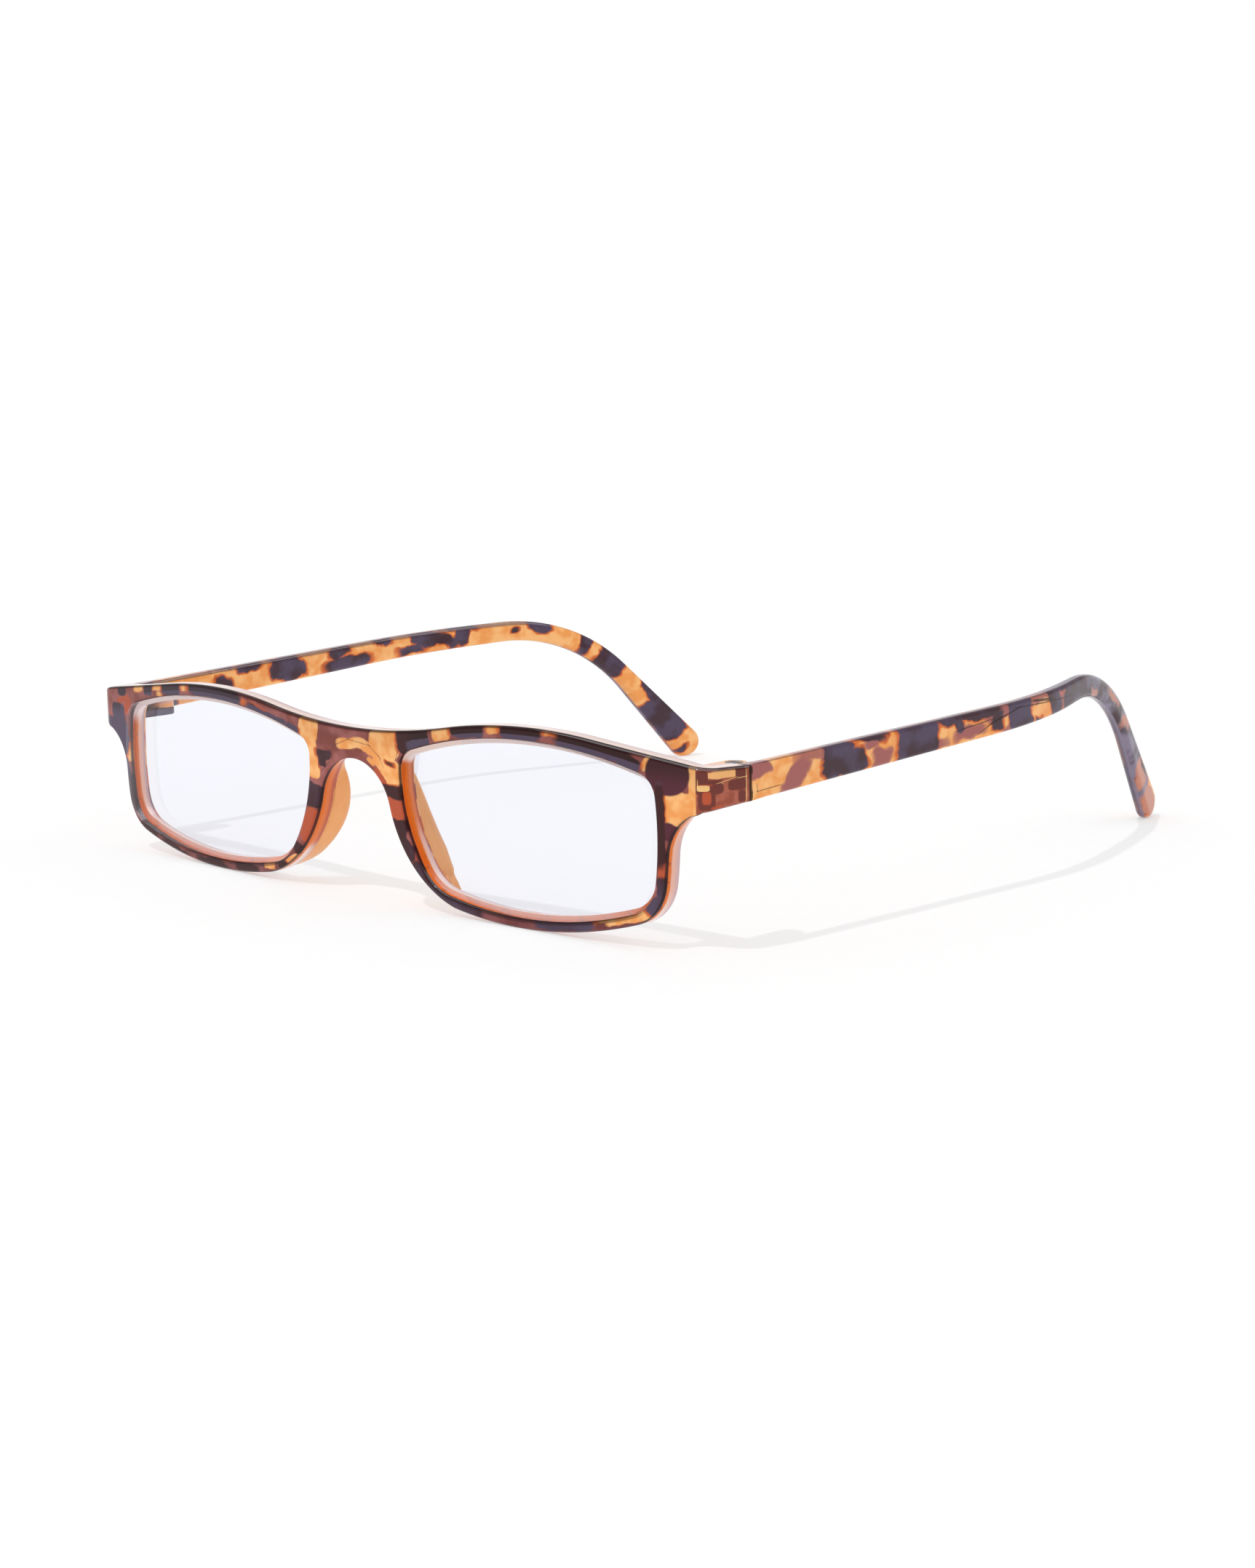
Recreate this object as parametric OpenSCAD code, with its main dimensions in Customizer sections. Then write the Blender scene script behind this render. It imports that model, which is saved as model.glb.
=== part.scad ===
// Slim rectangular reading glasses, full rim, moulded plastic, seven pieces.
// Millimetres. +Z is up, the wearer looks towards -Y, X is the mirror axis.
// The origin lies on the floor under the middle of the bounding box.
// Left and right are those of the viewer in front: right is +X.

/* [Lens openings] */
// width of one lens opening at its widest
opening_width = 48.7; // [44:0.1:54]
// height of one lens opening at its tallest
opening_height = 24.9; // [20:0.1:32]
// distance between the two lens openings at the nose
bridge_gap = 20; // [16:0.1:24]
// how far the lens edge reaches into the rim groove
groove_depth = 0.7; // [0.4:0.05:1]
// thickness of the lens at its edge
lens_edge = 1.5; // [1.2:0.1:2]

/* [Front] */
// depth of the front from face to back
front_depth = 3.3; // [2.8:0.1:4.5]
// radius of the gentle bow of the front seen from above
front_bow = 620; // [300:10:1200]
// width of the rim below and beside the lens
rim = 1.5; // [1.3:0.1:2.5]
// height of the brow above the lens opening at its crest
brow = 1.8; // [1.4:0.1:3]
// dip of the brow line at the bridge, below the crest
saddle_dip = 3.1; // [2:0.1:4.5]
// height of the bridge at the middle
bridge_height = 4.7; // [3.5:0.1:6]
// upward slant of the underside of the bridge towards the back, degrees
bridge_flare = 28; // [10:1:35]
// fall of the brow line outwards, as a slope
brow_fall = 0.118; // [0.05:0.001:0.2]

/* [Nose pads] */
// how far the nose pads reach behind the front face
pad_reach = 6.9; // [5:0.1:10]
// thickness of a nose pad at its root
pad_thickness = 2.4; // [1.8:0.1:3]
// slant of the lens side of a pad, which thins it towards the back, degrees
pad_taper = 12; // [4:1:18]

/* [End pieces and hinges] */
// how far the end piece reaches past the lens opening
end_reach = 9.5; // [8:0.1:12]
// height of the end piece at its corner
end_height = 5.7; // [5:0.1:8]
// thickness of the end piece, from flank to inner face
end_thickness = 4; // [3.4:0.1:5]
// distance of the hinge gap behind the front face at the corner
wrap = 7.2; // [6:0.1:10]
// distance of the hinge pin behind the hinge gap
pin_back = 2; // [1.8:0.1:3]
// distance of the hinge pin inside the outer flank
pin_inset = 4.8; // [4.4:0.1:6]
// outer radius of the hinge knuckles
knuckle_radius = 1.85; // [1.6:0.05:2.2]
// radius of the rounded corner between face and flank, seen from above
corner_round = 3.4; // [2:0.1:4.5]
// slope of the flank, which widens the end piece towards the hinge, degrees
flank_tilt = 11; // [4:0.5:13]
// radius of the screw shank
shank_radius = 0.7; // [0.6:0.05:0.9]
// height of the hinge tongue
tongue_height = 1.4; // [1.2:0.1:2.2]

/* [Temples] */
// length from the hinge gap to the end of the tip, measured straight back
temple_length = 115; // [95:1:135]
// height of the temple at the hinge
temple_height = 4.8; // [4:0.1:7]
// height of the temple at the ear bend
bend_height = 3.5; // [3:0.1:5]
// bevel along the outer edges of the temple
edge_out = 0.5; // [0.3:0.1:1]
// bevel along the inner edges of the temple
edge_in = 0.9; // [0.3:0.1:1.2]
// thickness of the temple
temple_thickness = 2.5; // [2.4:0.1:4]
// radius of the ear bend along the top edge
bend_radius = 31; // [24:0.5:40]
// radius of the rounded tip
tip_radius = 2.75; // [2:0.05:3.5]
// outward slant of the straight arm, degrees
splay = 1.5; // [0:0.5:3]
// inward slant of the tip, degrees
tuck = 18; // [10:1:26]

/* [Hidden] */
$fn = 96;
// depth of the small flat that each rim stands on
foot_flat = 0.05;
slack = 0.05;
pin_slack = 0.04;
gap = 0.15;
knuckle_gap = 0.1;
half_gap = bridge_gap / 2;
open_out = half_gap + opening_width;
open_low = rim - foot_flat;
open_top = open_low + opening_height;
crest_x = half_gap + 0.525 * opening_width;
crest_z = open_top + brow;
arc_top = 80;
arc_low = 72;
arc_out = 45;
arc_nose = 23;
c_top = [crest_x, open_top - arc_top];
c_low = [half_gap + 0.483 * opening_width, open_low + arc_low];
c_out = [open_out - arc_out, open_low + 0.56 * opening_height];
c_nose = [half_gap + arc_nose, open_low + 0.737 * opening_height];
r_corner = [3.5, 3, 8.5, 5.5];
flank = open_out + end_reach;
function bow_y(x) = front_bow - sqrt(front_bow * front_bow - x * x);
corner_y = bow_y(flank);
gap_y = corner_y + wrap;
tip_end = gap_y + gap + temple_length;
origin_y = tip_end / 2;
pin = [flank - pin_inset, gap_y + pin_back];
flank_way = [sin(flank_tilt), cos(flank_tilt)];
corner_q = [flank - corner_round * flank_way[1], gap_y + corner_round * flank_way[0] - front_bow];
corner_dot = corner_q * flank_way;
corner_far = pow(front_bow - corner_round, 2) - corner_q * corner_q;
corner_slide = -corner_dot - sqrt(pow(corner_dot, 2) + corner_far);
corner_c = corner_q + corner_slide * flank_way + [0, front_bow];
corner_out = (corner_c - [0, front_bow]) / (front_bow - corner_round);
brow_arc = 95;
fall_angle = atan(brow_fall);
brow_c = [crest_x, crest_z - brow_arc];
brow_t = brow_c + brow_arc * [sin(fall_angle), cos(fall_angle)];
end_top = brow_t[1] - brow_fall * (flank - brow_t[0]);
end_low = end_top - end_height;
knuckle_top = end_top - 0.25;
tongue_top = knuckle_top - 2.1;
tongue_low = tongue_top - tongue_height;
knuckle_low = end_low + 0.8;
saddle_z = crest_z - saddle_dip;
saddle_sum = (crest_x * crest_x + saddle_dip * saddle_dip) / (2 * saddle_dip);
saddle_arc = saddle_sum - brow_arc;
saddle_x = crest_x * saddle_arc / saddle_sum;
notch_arc = 18.6;
notch_c = [half_gap - 2.9 + notch_arc, notch_arc + 0.4];
// arch under the bridge, tangent to the nose side of the rim
arch_top = saddle_z - bridge_height;
arch_rise = arch_top - notch_c[1];
arch_arc = (pow(notch_c[0], 2) + pow(arch_rise, 2) - pow(notch_arc, 2)) / (2 * (notch_arc + arch_rise));
arch_c = [0, arch_top - arch_arc];
arch_a = atan2(notch_c[1] - arch_c[1], notch_c[0]);
pad_arc = 18;
pad_foot = 3.4;
fillet = 7;
fillet_z = end_low - fillet;
fillet_x = c_out[0] + sqrt(pow(arc_out + rim + fillet, 2) - pow(fillet_z - c_out[1], 2));
fillet_c = [fillet_x, fillet_z];
fillet_t = c_out + (fillet_c - c_out) * (arc_out + rim) / (arc_out + rim + fillet);

// Direction of a plane vector, in degrees.
function dir(v) = atan2(v[1], v[0]);

// Point at a given distance and direction from a centre.
function out(c, r, a) = c + r * [cos(a), sin(a)];

// Crossing of two circles, on the left or the right of the line from a to b.
function cross_at(a, ra, b, rb, side) =
    let (d = norm(b - a))
    let (k = (ra * ra - rb * rb + d * d) / (2 * d))
    let (h = sqrt(ra * ra - k * k))
    let (u = (b - a) / d)
    a + k * u + side * h * [-u[1], u[0]];

// Extrude a plane drawing in X and Z along Y.
module along_y(y0, y1) {
    translate([0, y1, 0])
    rotate([90, 0, 0])
    linear_extrude(y1 - y0)
    children();
}

// Extrude a plane drawing in Y and Z along X.
module along_x(x0, x1) {
    translate([x0, 0, 0])
    rotate([90, 0, 90])
    linear_extrude(x1 - x0)
    children();
}

// Points along an arc.
function arc(c, r, a0, a1, n) = [for (i = [0:n]) out(c, r, a0 + (a1 - a0) * i / n)];

// The same direction, written so that it follows another one.
function after(a, b) = b < a ? b + 360 : b;

// Centres of the four rounded corners of the lens shape.
k_out = cross_at(c_top, arc_top - r_corner[0], c_out, arc_out - r_corner[0], -1);
k_nose = cross_at(c_top, arc_top - r_corner[1], c_nose, arc_nose - r_corner[1], 1);
k_low = cross_at(c_low, arc_low - r_corner[2], c_nose, arc_nose - r_corner[2], -1);
k_end = cross_at(c_low, arc_low - r_corner[3], c_out, arc_out - r_corner[3], 1);

// Directions at which the four sides and four corners of the lens shape meet.
d0 = dir(k_end - c_out);
d1 = after(d0, dir(k_out - c_out));
d2 = after(d1, dir(k_out - c_top));
d3 = after(d2, dir(k_nose - c_top));
d4 = after(d3, dir(k_nose - c_nose));
d5 = after(d4, dir(k_low - c_nose));
d6 = after(d5, dir(k_low - c_low));
d7 = after(d6, dir(k_end - c_low));
d8 = d0 + 360;

// Lens shape of the right side: four side arcs, four tangent corners, grown by d.
module lens_shape(d) {
    polygon(concat(
        arc(c_out, arc_out + d, d0, d1, 6),
        arc(k_out, r_corner[0] + d, d1 + 10, d2 - 10, 4),
        arc(c_top, arc_top + d, d2, d3, 14),
        arc(k_nose, r_corner[1] + d, d3 + 10, d4 - 10, 4),
        arc(c_nose, arc_nose + d, d4, d5, 9),
        arc(k_low, r_corner[2] + d, d5 + 6, d6 - 6, 5),
        arc(c_low, arc_low + d, d6, d7, 12),
        arc(k_end, r_corner[3] + d, d7 + 9, d8 - 9, 6)
    ));
}

// Brow, bridge and nose side of the right half: saddle, crest, fall to the end piece, arch.
module brow_shape() {
    base = open_top - 6;
    saddle_c = [0, saddle_z + saddle_arc];
    saddle_a = 270 + asin(saddle_x / saddle_arc);
    polygon(concat(
        arc(saddle_c, saddle_arc, 269.5, saddle_a, 6),
        arc(brow_c, brow_arc, saddle_a - 181.2, 90 - fall_angle, 10),
        [[flank, end_top], [flank, end_low], [open_out - 2, end_low]],
        [[open_out - 4, base], [notch_c[0], base]],
        arc(notch_c, notch_arc, 262, 180 + arch_a, 14),
        arc(arch_c, arch_arc, arch_a + 6, 92, 12)
    ));
}

// Outline of the right half of the front, seen from the front.
module half_outline() {
    lens_shape(rim);
    brow_shape();
    polygon(concat(
        [[open_out - 6, fillet_t[1]]],
        arc(fillet_c, fillet, dir(fillet_t - fillet_c), 90, 8),
        [[fillet_c[0], end_low + 1], [open_out - 6, end_low + 1]]
    ));
}

// Slab between two depths behind the bowed front face.
module bowed_slab(y0, y1) {
    translate([0, front_bow, -5])
    difference() {
        cylinder(h = crest_z + 10, r = front_bow - y0, $fn = 400);
        translate([0, 0, -1]) cylinder(h = crest_z + 12, r = front_bow - y1, $fn = 400);
    }
}

// Plan of the right end piece: face, rounded corner, flank, back to the hinge gap.
module end_plan() {
    inner = flank - end_thickness;
    back = corner_y + front_depth;
    difference() {
        intersection() {
            translate([open_out - 1, 0]) square([flank - open_out + 1, gap_y]);
            translate([0, front_bow]) circle(front_bow, $fn = 400);
        }
        // hollow behind the front, with a rounded inner corner
        translate([open_out - 3, back]) square([inner - 1.5 - open_out + 3, wrap]);
        translate([open_out - 3, back + 1.5]) square([inner - open_out + 3, wrap]);
        translate([inner - 1.5, back + 1.5]) circle(1.5);
        // sloping flank and rounded outer corner
        difference() {
            polygon([
                corner_c,
                corner_c + corner_round * corner_out,
                corner_c + (corner_round + 2) * corner_out,
                [flank + 3, corner_y - 3],
                [flank + 3, gap_y + 1],
                [flank, gap_y] + flank_way,
                corner_c + corner_round * [flank_way[1], -flank_way[0]]
            ]);
            translate(corner_c) circle(corner_round);
        }
    }
}

// Side profile of the end piece: slightly lower towards the hinge.
module end_side() {
    polygon([
        [-1, end_low - 8],
        [-1, crest_z],
        [corner_y, crest_z],
        [corner_y, end_top + 0.6],
        [corner_y + front_depth, end_top + 0.25],
        [gap_y, end_top],
        [gap_y, knuckle_low + 0.5],
        [gap_y - 0.15, knuckle_low + 0.15],
        [gap_y - 0.5, knuckle_low],
        [corner_y + 1.8, end_low + 0.35],
        [corner_y, end_low],
        [corner_y - 1, end_low - 8]
    ]);
}

// Material taken away behind the curve under the end piece, which thins the wall upwards.
module under_relief() {
    intersection() {
        translate([0, 0, end_low - 8]) linear_extrude(12) {
            polygon([
                [corner_c[0] + 1.2, corner_y],
                [flank + 2, corner_y],
                [flank + 2, gap_y + 1],
                [fillet_t[0] - 0.3, gap_y + 1],
                [fillet_t[0] - 0.3, corner_y + front_depth]
            ]);
        }
        along_x(open_out, flank + 3) {
            polygon([
                [corner_y - 1, end_low - 7],
                [corner_y - 1, end_low],
                [corner_y, end_low],
                [corner_y + 1.8, end_low + 0.35],
                [gap_y - 0.5, knuckle_low],
                [gap_y - 0.5, end_low - 7]
            ]);
        }
    }
}

// Right end piece with the three-knuckle hinge cut out of it.
module end_piece() {
    difference() {
        intersection() {
            translate([0, 0, end_low - 8]) linear_extrude(crest_z - end_low + 9) end_plan();
            along_y(-1, gap_y + 1) half_outline();
            along_x(open_out - 2, flank + 1) end_side();
        }
        // mortise that takes the hinge tongue
        translate([pin[0] - 3, corner_y + front_depth + 0.6, tongue_low - knuckle_gap])
        cube([4.2, wrap, tongue_height + 2 * knuckle_gap]);
    }
    // knuckle above and below the tongue
    knuckle(tongue_top + knuckle_gap, knuckle_top);
    knuckle(knuckle_low, tongue_low - knuckle_gap);
}

// One knuckle of the front, with the arm that ties it to the end piece.
module knuckle(z0, z1) {
    translate([pin[0], pin[1], z0]) cylinder(h = z1 - z0, r = knuckle_radius);
    translate([pin[0] - knuckle_radius, gap_y - 3, z0])
    cube([knuckle_radius + 1, pin_back + 3, z1 - z0]);
}

// Side profile of a nose pad: a long shallow curve with a rounded lower end.
module pad_profile() {
    c1 = [pad_reach - pad_arc, 0.4 * opening_height];
    c2 = out(c1, pad_arc - pad_foot, -19);
    polygon(concat(
        [[1, c2[1] - pad_foot]],
        arc(c2, pad_foot, -90, -25, 6),
        arc(c1, pad_arc, -19, 42, 14),
        [[1, c1[1] + pad_arc * sin(42)]]
    ));
}

// Right nose pad: the nose side of the rim carried backwards, thinner towards the back.
module nose_pad() {
    difference() {
        intersection() {
            along_y(bow_y(half_gap) + 0.5, pad_reach + 3) brow_shape();
            along_x(0.5, half_gap + 5) pad_profile();
        }
        translate([half_gap, 3, 0])
        rotate([0, 0, pad_taper])
        along_y(-15, 15)
        translate([notch_c[0] - half_gap, notch_c[1]]) circle(notch_arc - pad_thickness);
        along_y(-5, 15) lens_shape(0.25);
    }
}

// Underside of the bridge: a tilted bore that opens the arch towards the back.
module arch_flare() {
    translate([0, 0, arch_top])
    rotate([bridge_flare, 0, 0])
    translate([0, 0, -arch_arc])
    rotate([-90, 0, 0])
    cylinder(h = 40, r = arch_arc, center = true);
}

// Screw hole with a seat for the head, open at the top only.
module screw_hole() {
    translate([pin[0], pin[1], knuckle_low + 0.3])
    cylinder(h = knuckle_top, r = shank_radius + slack);
    translate([pin[0], pin[1], knuckle_top - 0.75])
    cylinder(h = 3, r = 1.25);
}

// Front frame: rims, bridge, end pieces, nose pads and outer hinge knuckles in one moulding.
module front_frame() {
    color("#b8763e")
    translate([0, -origin_y, 0])
    difference() {
        union() {
            intersection() {
                along_y(-1, front_depth + 10) {
                    half_outline();
                    mirror([1, 0]) half_outline();
                }
                bowed_slab(0, front_depth);
                translate([-corner_c[0], -2, -1]) cube([2 * corner_c[0], 20, 40]);
            }
            for (s = [0, 1]) mirror([s, 0, 0]) {
                end_piece();
                nose_pad();
            }
        }
        arch_flare();
        // flats that the rims stand on
        translate([-80, -10, -5]) cube([160, 40, 5]);
        for (s = [0, 1]) mirror([s, 0, 0]) {
            under_relief();
            along_y(-2, 14) lens_shape(0);
            // groove that holds the lens
            intersection() {
                along_y(-2, 14) lens_shape(groove_depth);
                bowed_slab(1.1, 1.1 + lens_edge * 0.6 + 2 * slack);
            }
            screw_hole();
        }
    }
}

// Right lens: thin at the edge, thicker in the middle, with a ridge that sits in the groove.
module lens() {
    color("#eef0fb")
    translate([0, -origin_y, 0]) {
        intersection() {
            along_y(-3, 8) lens_shape(-slack);
            bowed_slab(-2, 1.1 + lens_edge);
            translate([crest_x, bow_y(crest_x) + 220 - 0.2, open_low + opening_height / 2])
            sphere(220, $fn = 300);
        }
        intersection() {
            along_y(-3, 8) lens_shape(groove_depth - slack);
            bowed_slab(1.1 + slack, 1.1 + slack + lens_edge * 0.6);
        }
    }
}

module lens_right() {
    lens();
}

module lens_left() {
    mirror([1, 0, 0]) lens();
}

// Side profile of a temple.
t_front = gap_y + gap;
t_top = end_top;
t_low = end_top - temple_height;
bend_low = bend_radius - bend_height;
bend_c = [tip_end - 36.7, 28 / 28.3 * crest_z - bend_radius];
tip_c = [tip_end - tip_radius, tip_radius];
function from_point(p, c, r) = dir(p - c) - acos(r / norm(p - c));
top_a0 = from_point([t_front, t_top], bend_c, bend_radius);
low_a0 = from_point([t_front, t_low], bend_c, bend_low);
tip_d = tip_c - bend_c;
top_a1 = dir(tip_d) + acos((bend_radius - tip_radius) / norm(tip_d));
low_a1 = dir(tip_d) + acos((bend_low + tip_radius) / norm(tip_d));

// Straight arm, ear bend and paddle tip, joined along their tangents.
module temple_side() {
    polygon(concat(
        [[t_front, t_top], [t_front, t_low]],
        arc(bend_c, bend_low, low_a0, low_a1, 12),
        arc(tip_c, tip_radius, low_a1 + 180, top_a1 + 360, 14),
        arc(bend_c, bend_radius, top_a1, top_a0, 12)
    ));
}

// Plan of a temple: straight arm slanting outwards, then a curve that tucks the tip in.
half_t = temple_thickness / 2;
plan_0 = [flank - half_t - 0.1, t_front];
straight = 0.435 * temple_length;
plan_1 = plan_0 + straight * [tan(splay), 1];
tuck_arc = 68;
plan_c = plan_1 + tuck_arc * [-cos(splay), sin(splay)];
plan_2 = out(plan_c, tuck_arc, tuck);
module temple_plan() {
    side_0 = half_t * [cos(splay), -sin(splay)];
    side_2 = half_t * [cos(tuck), sin(tuck)];
    end = plan_2 + 60 * [-sin(tuck), cos(tuck)];
    polygon(concat(
        [plan_0 - side_0, plan_0 + side_0],
        arc(plan_c, tuck_arc + half_t, -splay, tuck, 10),
        [end + side_2, end - side_2],
        arc(plan_c, tuck_arc - half_t, tuck, -splay, 10)
    ));
}

// Edges of the temple as functions of the distance back, for the bevels.
function on_arc(c, r, y) = c + sqrt(max(0, r * r - y * y));
function edge_z(y, r, a0, a1) =
    y < bend_c[0] + r * cos(a0) ? out(bend_c, r, a0)[1] - (y - out(bend_c, r, a0)[0]) / tan(a0) :
    y < bend_c[0] + r * cos(a1) ? on_arc(bend_c[1], r, y - bend_c[0]) :
    out(bend_c, r, a1)[1] - (y - out(bend_c, r, a1)[0]) / tan(a1);
function top_z(y) = edge_z(y, bend_radius, top_a0, top_a1);
function low_z(y) = edge_z(y, bend_low, low_a0, low_a1);
function side_x(y, d) =
    y < plan_1[1] ? plan_1[0] + (y - plan_1[1]) * tan(splay) + d :
    y < plan_2[1] ? on_arc(plan_c[0], tuck_arc + d, y - plan_c[1]) :
    plan_2[0] - (y - plan_2[1]) * tan(tuck) + d;
stations = concat(
    [t_front - 1, (t_front + plan_1[1]) / 2, plan_1[1] - 6],
    [for (i = [0:14]) plan_1[1] + (tip_end + 3 - plan_1[1]) * i / 14]
);

// Bevels: two prisms along the diagonals that cut the four long edges.
module bevels() {
    last = len(stations) - 1;
    rotate([0, -45, 0])
    along_x(0, 110)
    polygon(concat(
        [for (i = [0:last]) let (y = stations[i])
            [y, (low_z(y) - side_x(y, half_t) + edge_out) / sqrt(2)]],
        [for (i = [last:-1:0]) let (y = stations[i])
            [y, (top_z(y) - side_x(y, -half_t) - edge_in) / sqrt(2)]]
    ));
}
module bevels_across() {
    last = len(stations) - 1;
    rotate([0, 45, 0])
    along_x(0, 110)
    polygon(concat(
        [for (i = [0:last]) let (y = stations[i])
            [y, (low_z(y) + side_x(y, -half_t) + edge_in) / sqrt(2)]],
        [for (i = [last:-1:0]) let (y = stations[i])
            [y, (top_z(y) + side_x(y, half_t) - edge_out) / sqrt(2)]]
    ));
}

// Right temple: arm, ear bend, paddle tip and the tongue of the hinge in one moulding.
module temple() {
    color("#a9683a")
    translate([0, -origin_y, 0])
    difference() {
        union() {
            difference() {
                intersection() {
                    along_x(20, flank + 8) temple_side();
                    translate([0, 0, -2]) linear_extrude(crest_z + 4) temple_plan();
                    bevels();
                    bevels_across();
                }
                // room for the knuckles of the front
                translate([pin[0], pin[1], -1])
                cylinder(h = crest_z + 4, r = knuckle_radius + 0.3);
            }
            // tongue
            translate([pin[0], pin[1], tongue_low])
            cylinder(h = tongue_height, r = knuckle_radius - 0.05);
            translate([pin[0], pin[1] - knuckle_radius + 0.05, tongue_low])
            cube([pin_inset - temple_thickness + 1.2, 2 * knuckle_radius, tongue_height]);
        }
        translate([pin[0], pin[1], -1]) cylinder(h = crest_z + 4, r = shank_radius + pin_slack);
    }
}

module temple_right() {
    temple();
}

module temple_left() {
    mirror([1, 0, 0]) temple();
}

// Hinge screw: plain shank and a flat slotted head sunk in the top knuckle.
module screw() {
    color("#8c8c90")
    translate([pin[0], pin[1] - origin_y, 0])
    difference() {
        union() {
            translate([0, 0, knuckle_low + 0.4])
            cylinder(h = knuckle_top - knuckle_low - 0.5, r = shank_radius);
            translate([0, 0, knuckle_top - 0.7]) cylinder(h = 0.7, r = 1.15);
        }
        translate([-1.5, -0.15, knuckle_top - 0.3]) cube([3, 0.3, 1]);
    }
}

module hinge_screw_right() {
    screw();
}

module hinge_screw_left() {
    mirror([1, 0, 0]) screw();
}

front_frame();
lens_left();
lens_right();
temple_left();
temple_right();
hinge_screw_left();
hinge_screw_right();
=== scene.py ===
"""Slim reading glasses in tortoise-print plastic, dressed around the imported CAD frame.

Sizes inside this file are millimetres, and meshes are written in metres.
Front pieces are laid out on a developed sheet: u along the front and round the corner,
v up, n inwards from the outer face. Temples use u straight back.
"""
import math

import bmesh
import bpy
from bpy.props import FloatProperty, FloatVectorProperty, PointerProperty
from mathutils import Matrix, Vector


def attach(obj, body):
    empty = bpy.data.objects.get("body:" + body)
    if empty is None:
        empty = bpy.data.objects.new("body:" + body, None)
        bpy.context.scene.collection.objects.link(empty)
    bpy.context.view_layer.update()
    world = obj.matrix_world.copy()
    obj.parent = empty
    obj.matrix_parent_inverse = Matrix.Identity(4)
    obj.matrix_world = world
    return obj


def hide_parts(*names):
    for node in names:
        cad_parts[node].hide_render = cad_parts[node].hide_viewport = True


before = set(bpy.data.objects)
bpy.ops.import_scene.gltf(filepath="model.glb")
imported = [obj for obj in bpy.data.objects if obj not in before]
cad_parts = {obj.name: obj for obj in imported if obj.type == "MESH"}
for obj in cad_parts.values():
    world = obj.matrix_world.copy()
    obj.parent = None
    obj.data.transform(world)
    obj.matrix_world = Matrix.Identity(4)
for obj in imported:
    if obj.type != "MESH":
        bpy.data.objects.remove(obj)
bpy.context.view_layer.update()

bl_info = {
    "name": "Tortoise reading glasses",
    "version": (1, 0, 0),
    "blender": (4, 5, 0),
    "location": "View3D > Sidebar > Glasses",
    "description": "Builds the mouldings, prints, lenses and photo stage of reading glasses",
    "category": "Object",
}

MM = 0.001
SIDES = ((1, "right"), (-1, "left"))

# Lens openings.
OPENING_WIDTH = 48.7
OPENING_HEIGHT = 24.9
BRIDGE_GAP = 20.0
GROOVE = 0.7
GROOVE_START = 1.1
GROOVE_WIDTH = 1.0
RIM = 1.5
FOOT_FLAT = 0.05
HALF_GAP = BRIDGE_GAP / 2
OPEN_OUT = HALF_GAP + OPENING_WIDTH
OPEN_LOW = RIM - FOOT_FLAT
OPEN_TOP = OPEN_LOW + OPENING_HEIGHT

# Where the sides of the lens shape reach furthest, as shares of its width or height.
CREST_SHARE, SAG_SHARE = 0.525, 0.483
OUT_SHARE, NOSE_SHARE = 0.56, 0.737

# Front.
DEPTH = 3.3
BOW = 620.0
BROW = 1.8
SADDLE_DIP = 3.1
BRIDGE_HEIGHT = 4.7
BRIDGE_FLARE = 28.0
FLARE_SLOPE = math.tan(math.radians(BRIDGE_FLARE))
FLARE_REACH = 1.2
BROW_FALL = 0.118
CREST = (HALF_GAP + CREST_SHARE * OPENING_WIDTH, OPEN_TOP + BROW)

# End pieces and hinges.
END_HEIGHT = 5.7
END_THICK = 4.0
END_LENGTH = 7.2
END_REACH = 9.5
END_ROUND = 0.5
END_SLOPE = 0.06
CORNER = 3.4
INNER_CORNER = 1.5
FLANK_TILT = 11.0
FLANK = OPEN_OUT + END_REACH
PIN_INSET = 4.8
PIN_BACK = 2.0
KNUCKLE = 1.85
KNUCKLE_DROP = 0.25
KNUCKLE_RISE = 0.8
UPPER_KNUCKLE = 2.1
SHANK = 0.7
TONGUE = 1.4
PLAY = 0.1
MORTISE_WIDTH = 4.2
MORTISE_LENGTH = 7.2
SEAT = 1.25
SEAT_DEPTH = 0.75
HINGE_GAP = 0.15
TEMPLE = 115.0

# Roundings of the small hinge parts and the flat ring between a rounding and its face.
LEAF_EDGE = 0.12
BORE_EDGE = 0.05
MARGIN = 0.12


def bow_y(x):
    """Distance of the bowed front face behind its middle."""
    return BOW - math.sqrt(BOW * BOW - x * x)


CORNER_Y = bow_y(FLANK)
GAP_Y = CORNER_Y + END_LENGTH
T_FRONT = GAP_Y + HINGE_GAP
TIP_END = T_FRONT + TEMPLE
ORIGIN_Y = TIP_END / 2
PIN = (FLANK - PIN_INSET, GAP_Y + PIN_BACK)


def clamp(x):
    return min(1.0, max(0.0, x))


def half_chord(r, d):
    """Half of a circle's chord at a distance from its centre."""
    return math.sqrt(max(0.0, r * r - d * d))


def direction(a, b):
    """Direction from a to b in degrees."""
    return math.degrees(math.atan2(b[1] - a[1], b[0] - a[0]))


def at(c, r, deg):
    """Point at a distance and direction from a centre."""
    return (c[0] + r * math.cos(math.radians(deg)), c[1] + r * math.sin(math.radians(deg)))


def arc(c, r, a0, a1, n):
    """Points along an arc, without the last one."""
    return [at(c, r, a0 + (a1 - a0) * i / n) for i in range(n)]


def straight(a, b, n):
    """Points along a straight line, without the last one."""
    return [(a[0] + (b[0] - a[0]) * i / n, a[1] + (b[1] - a[1]) * i / n) for i in range(n)]


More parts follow.
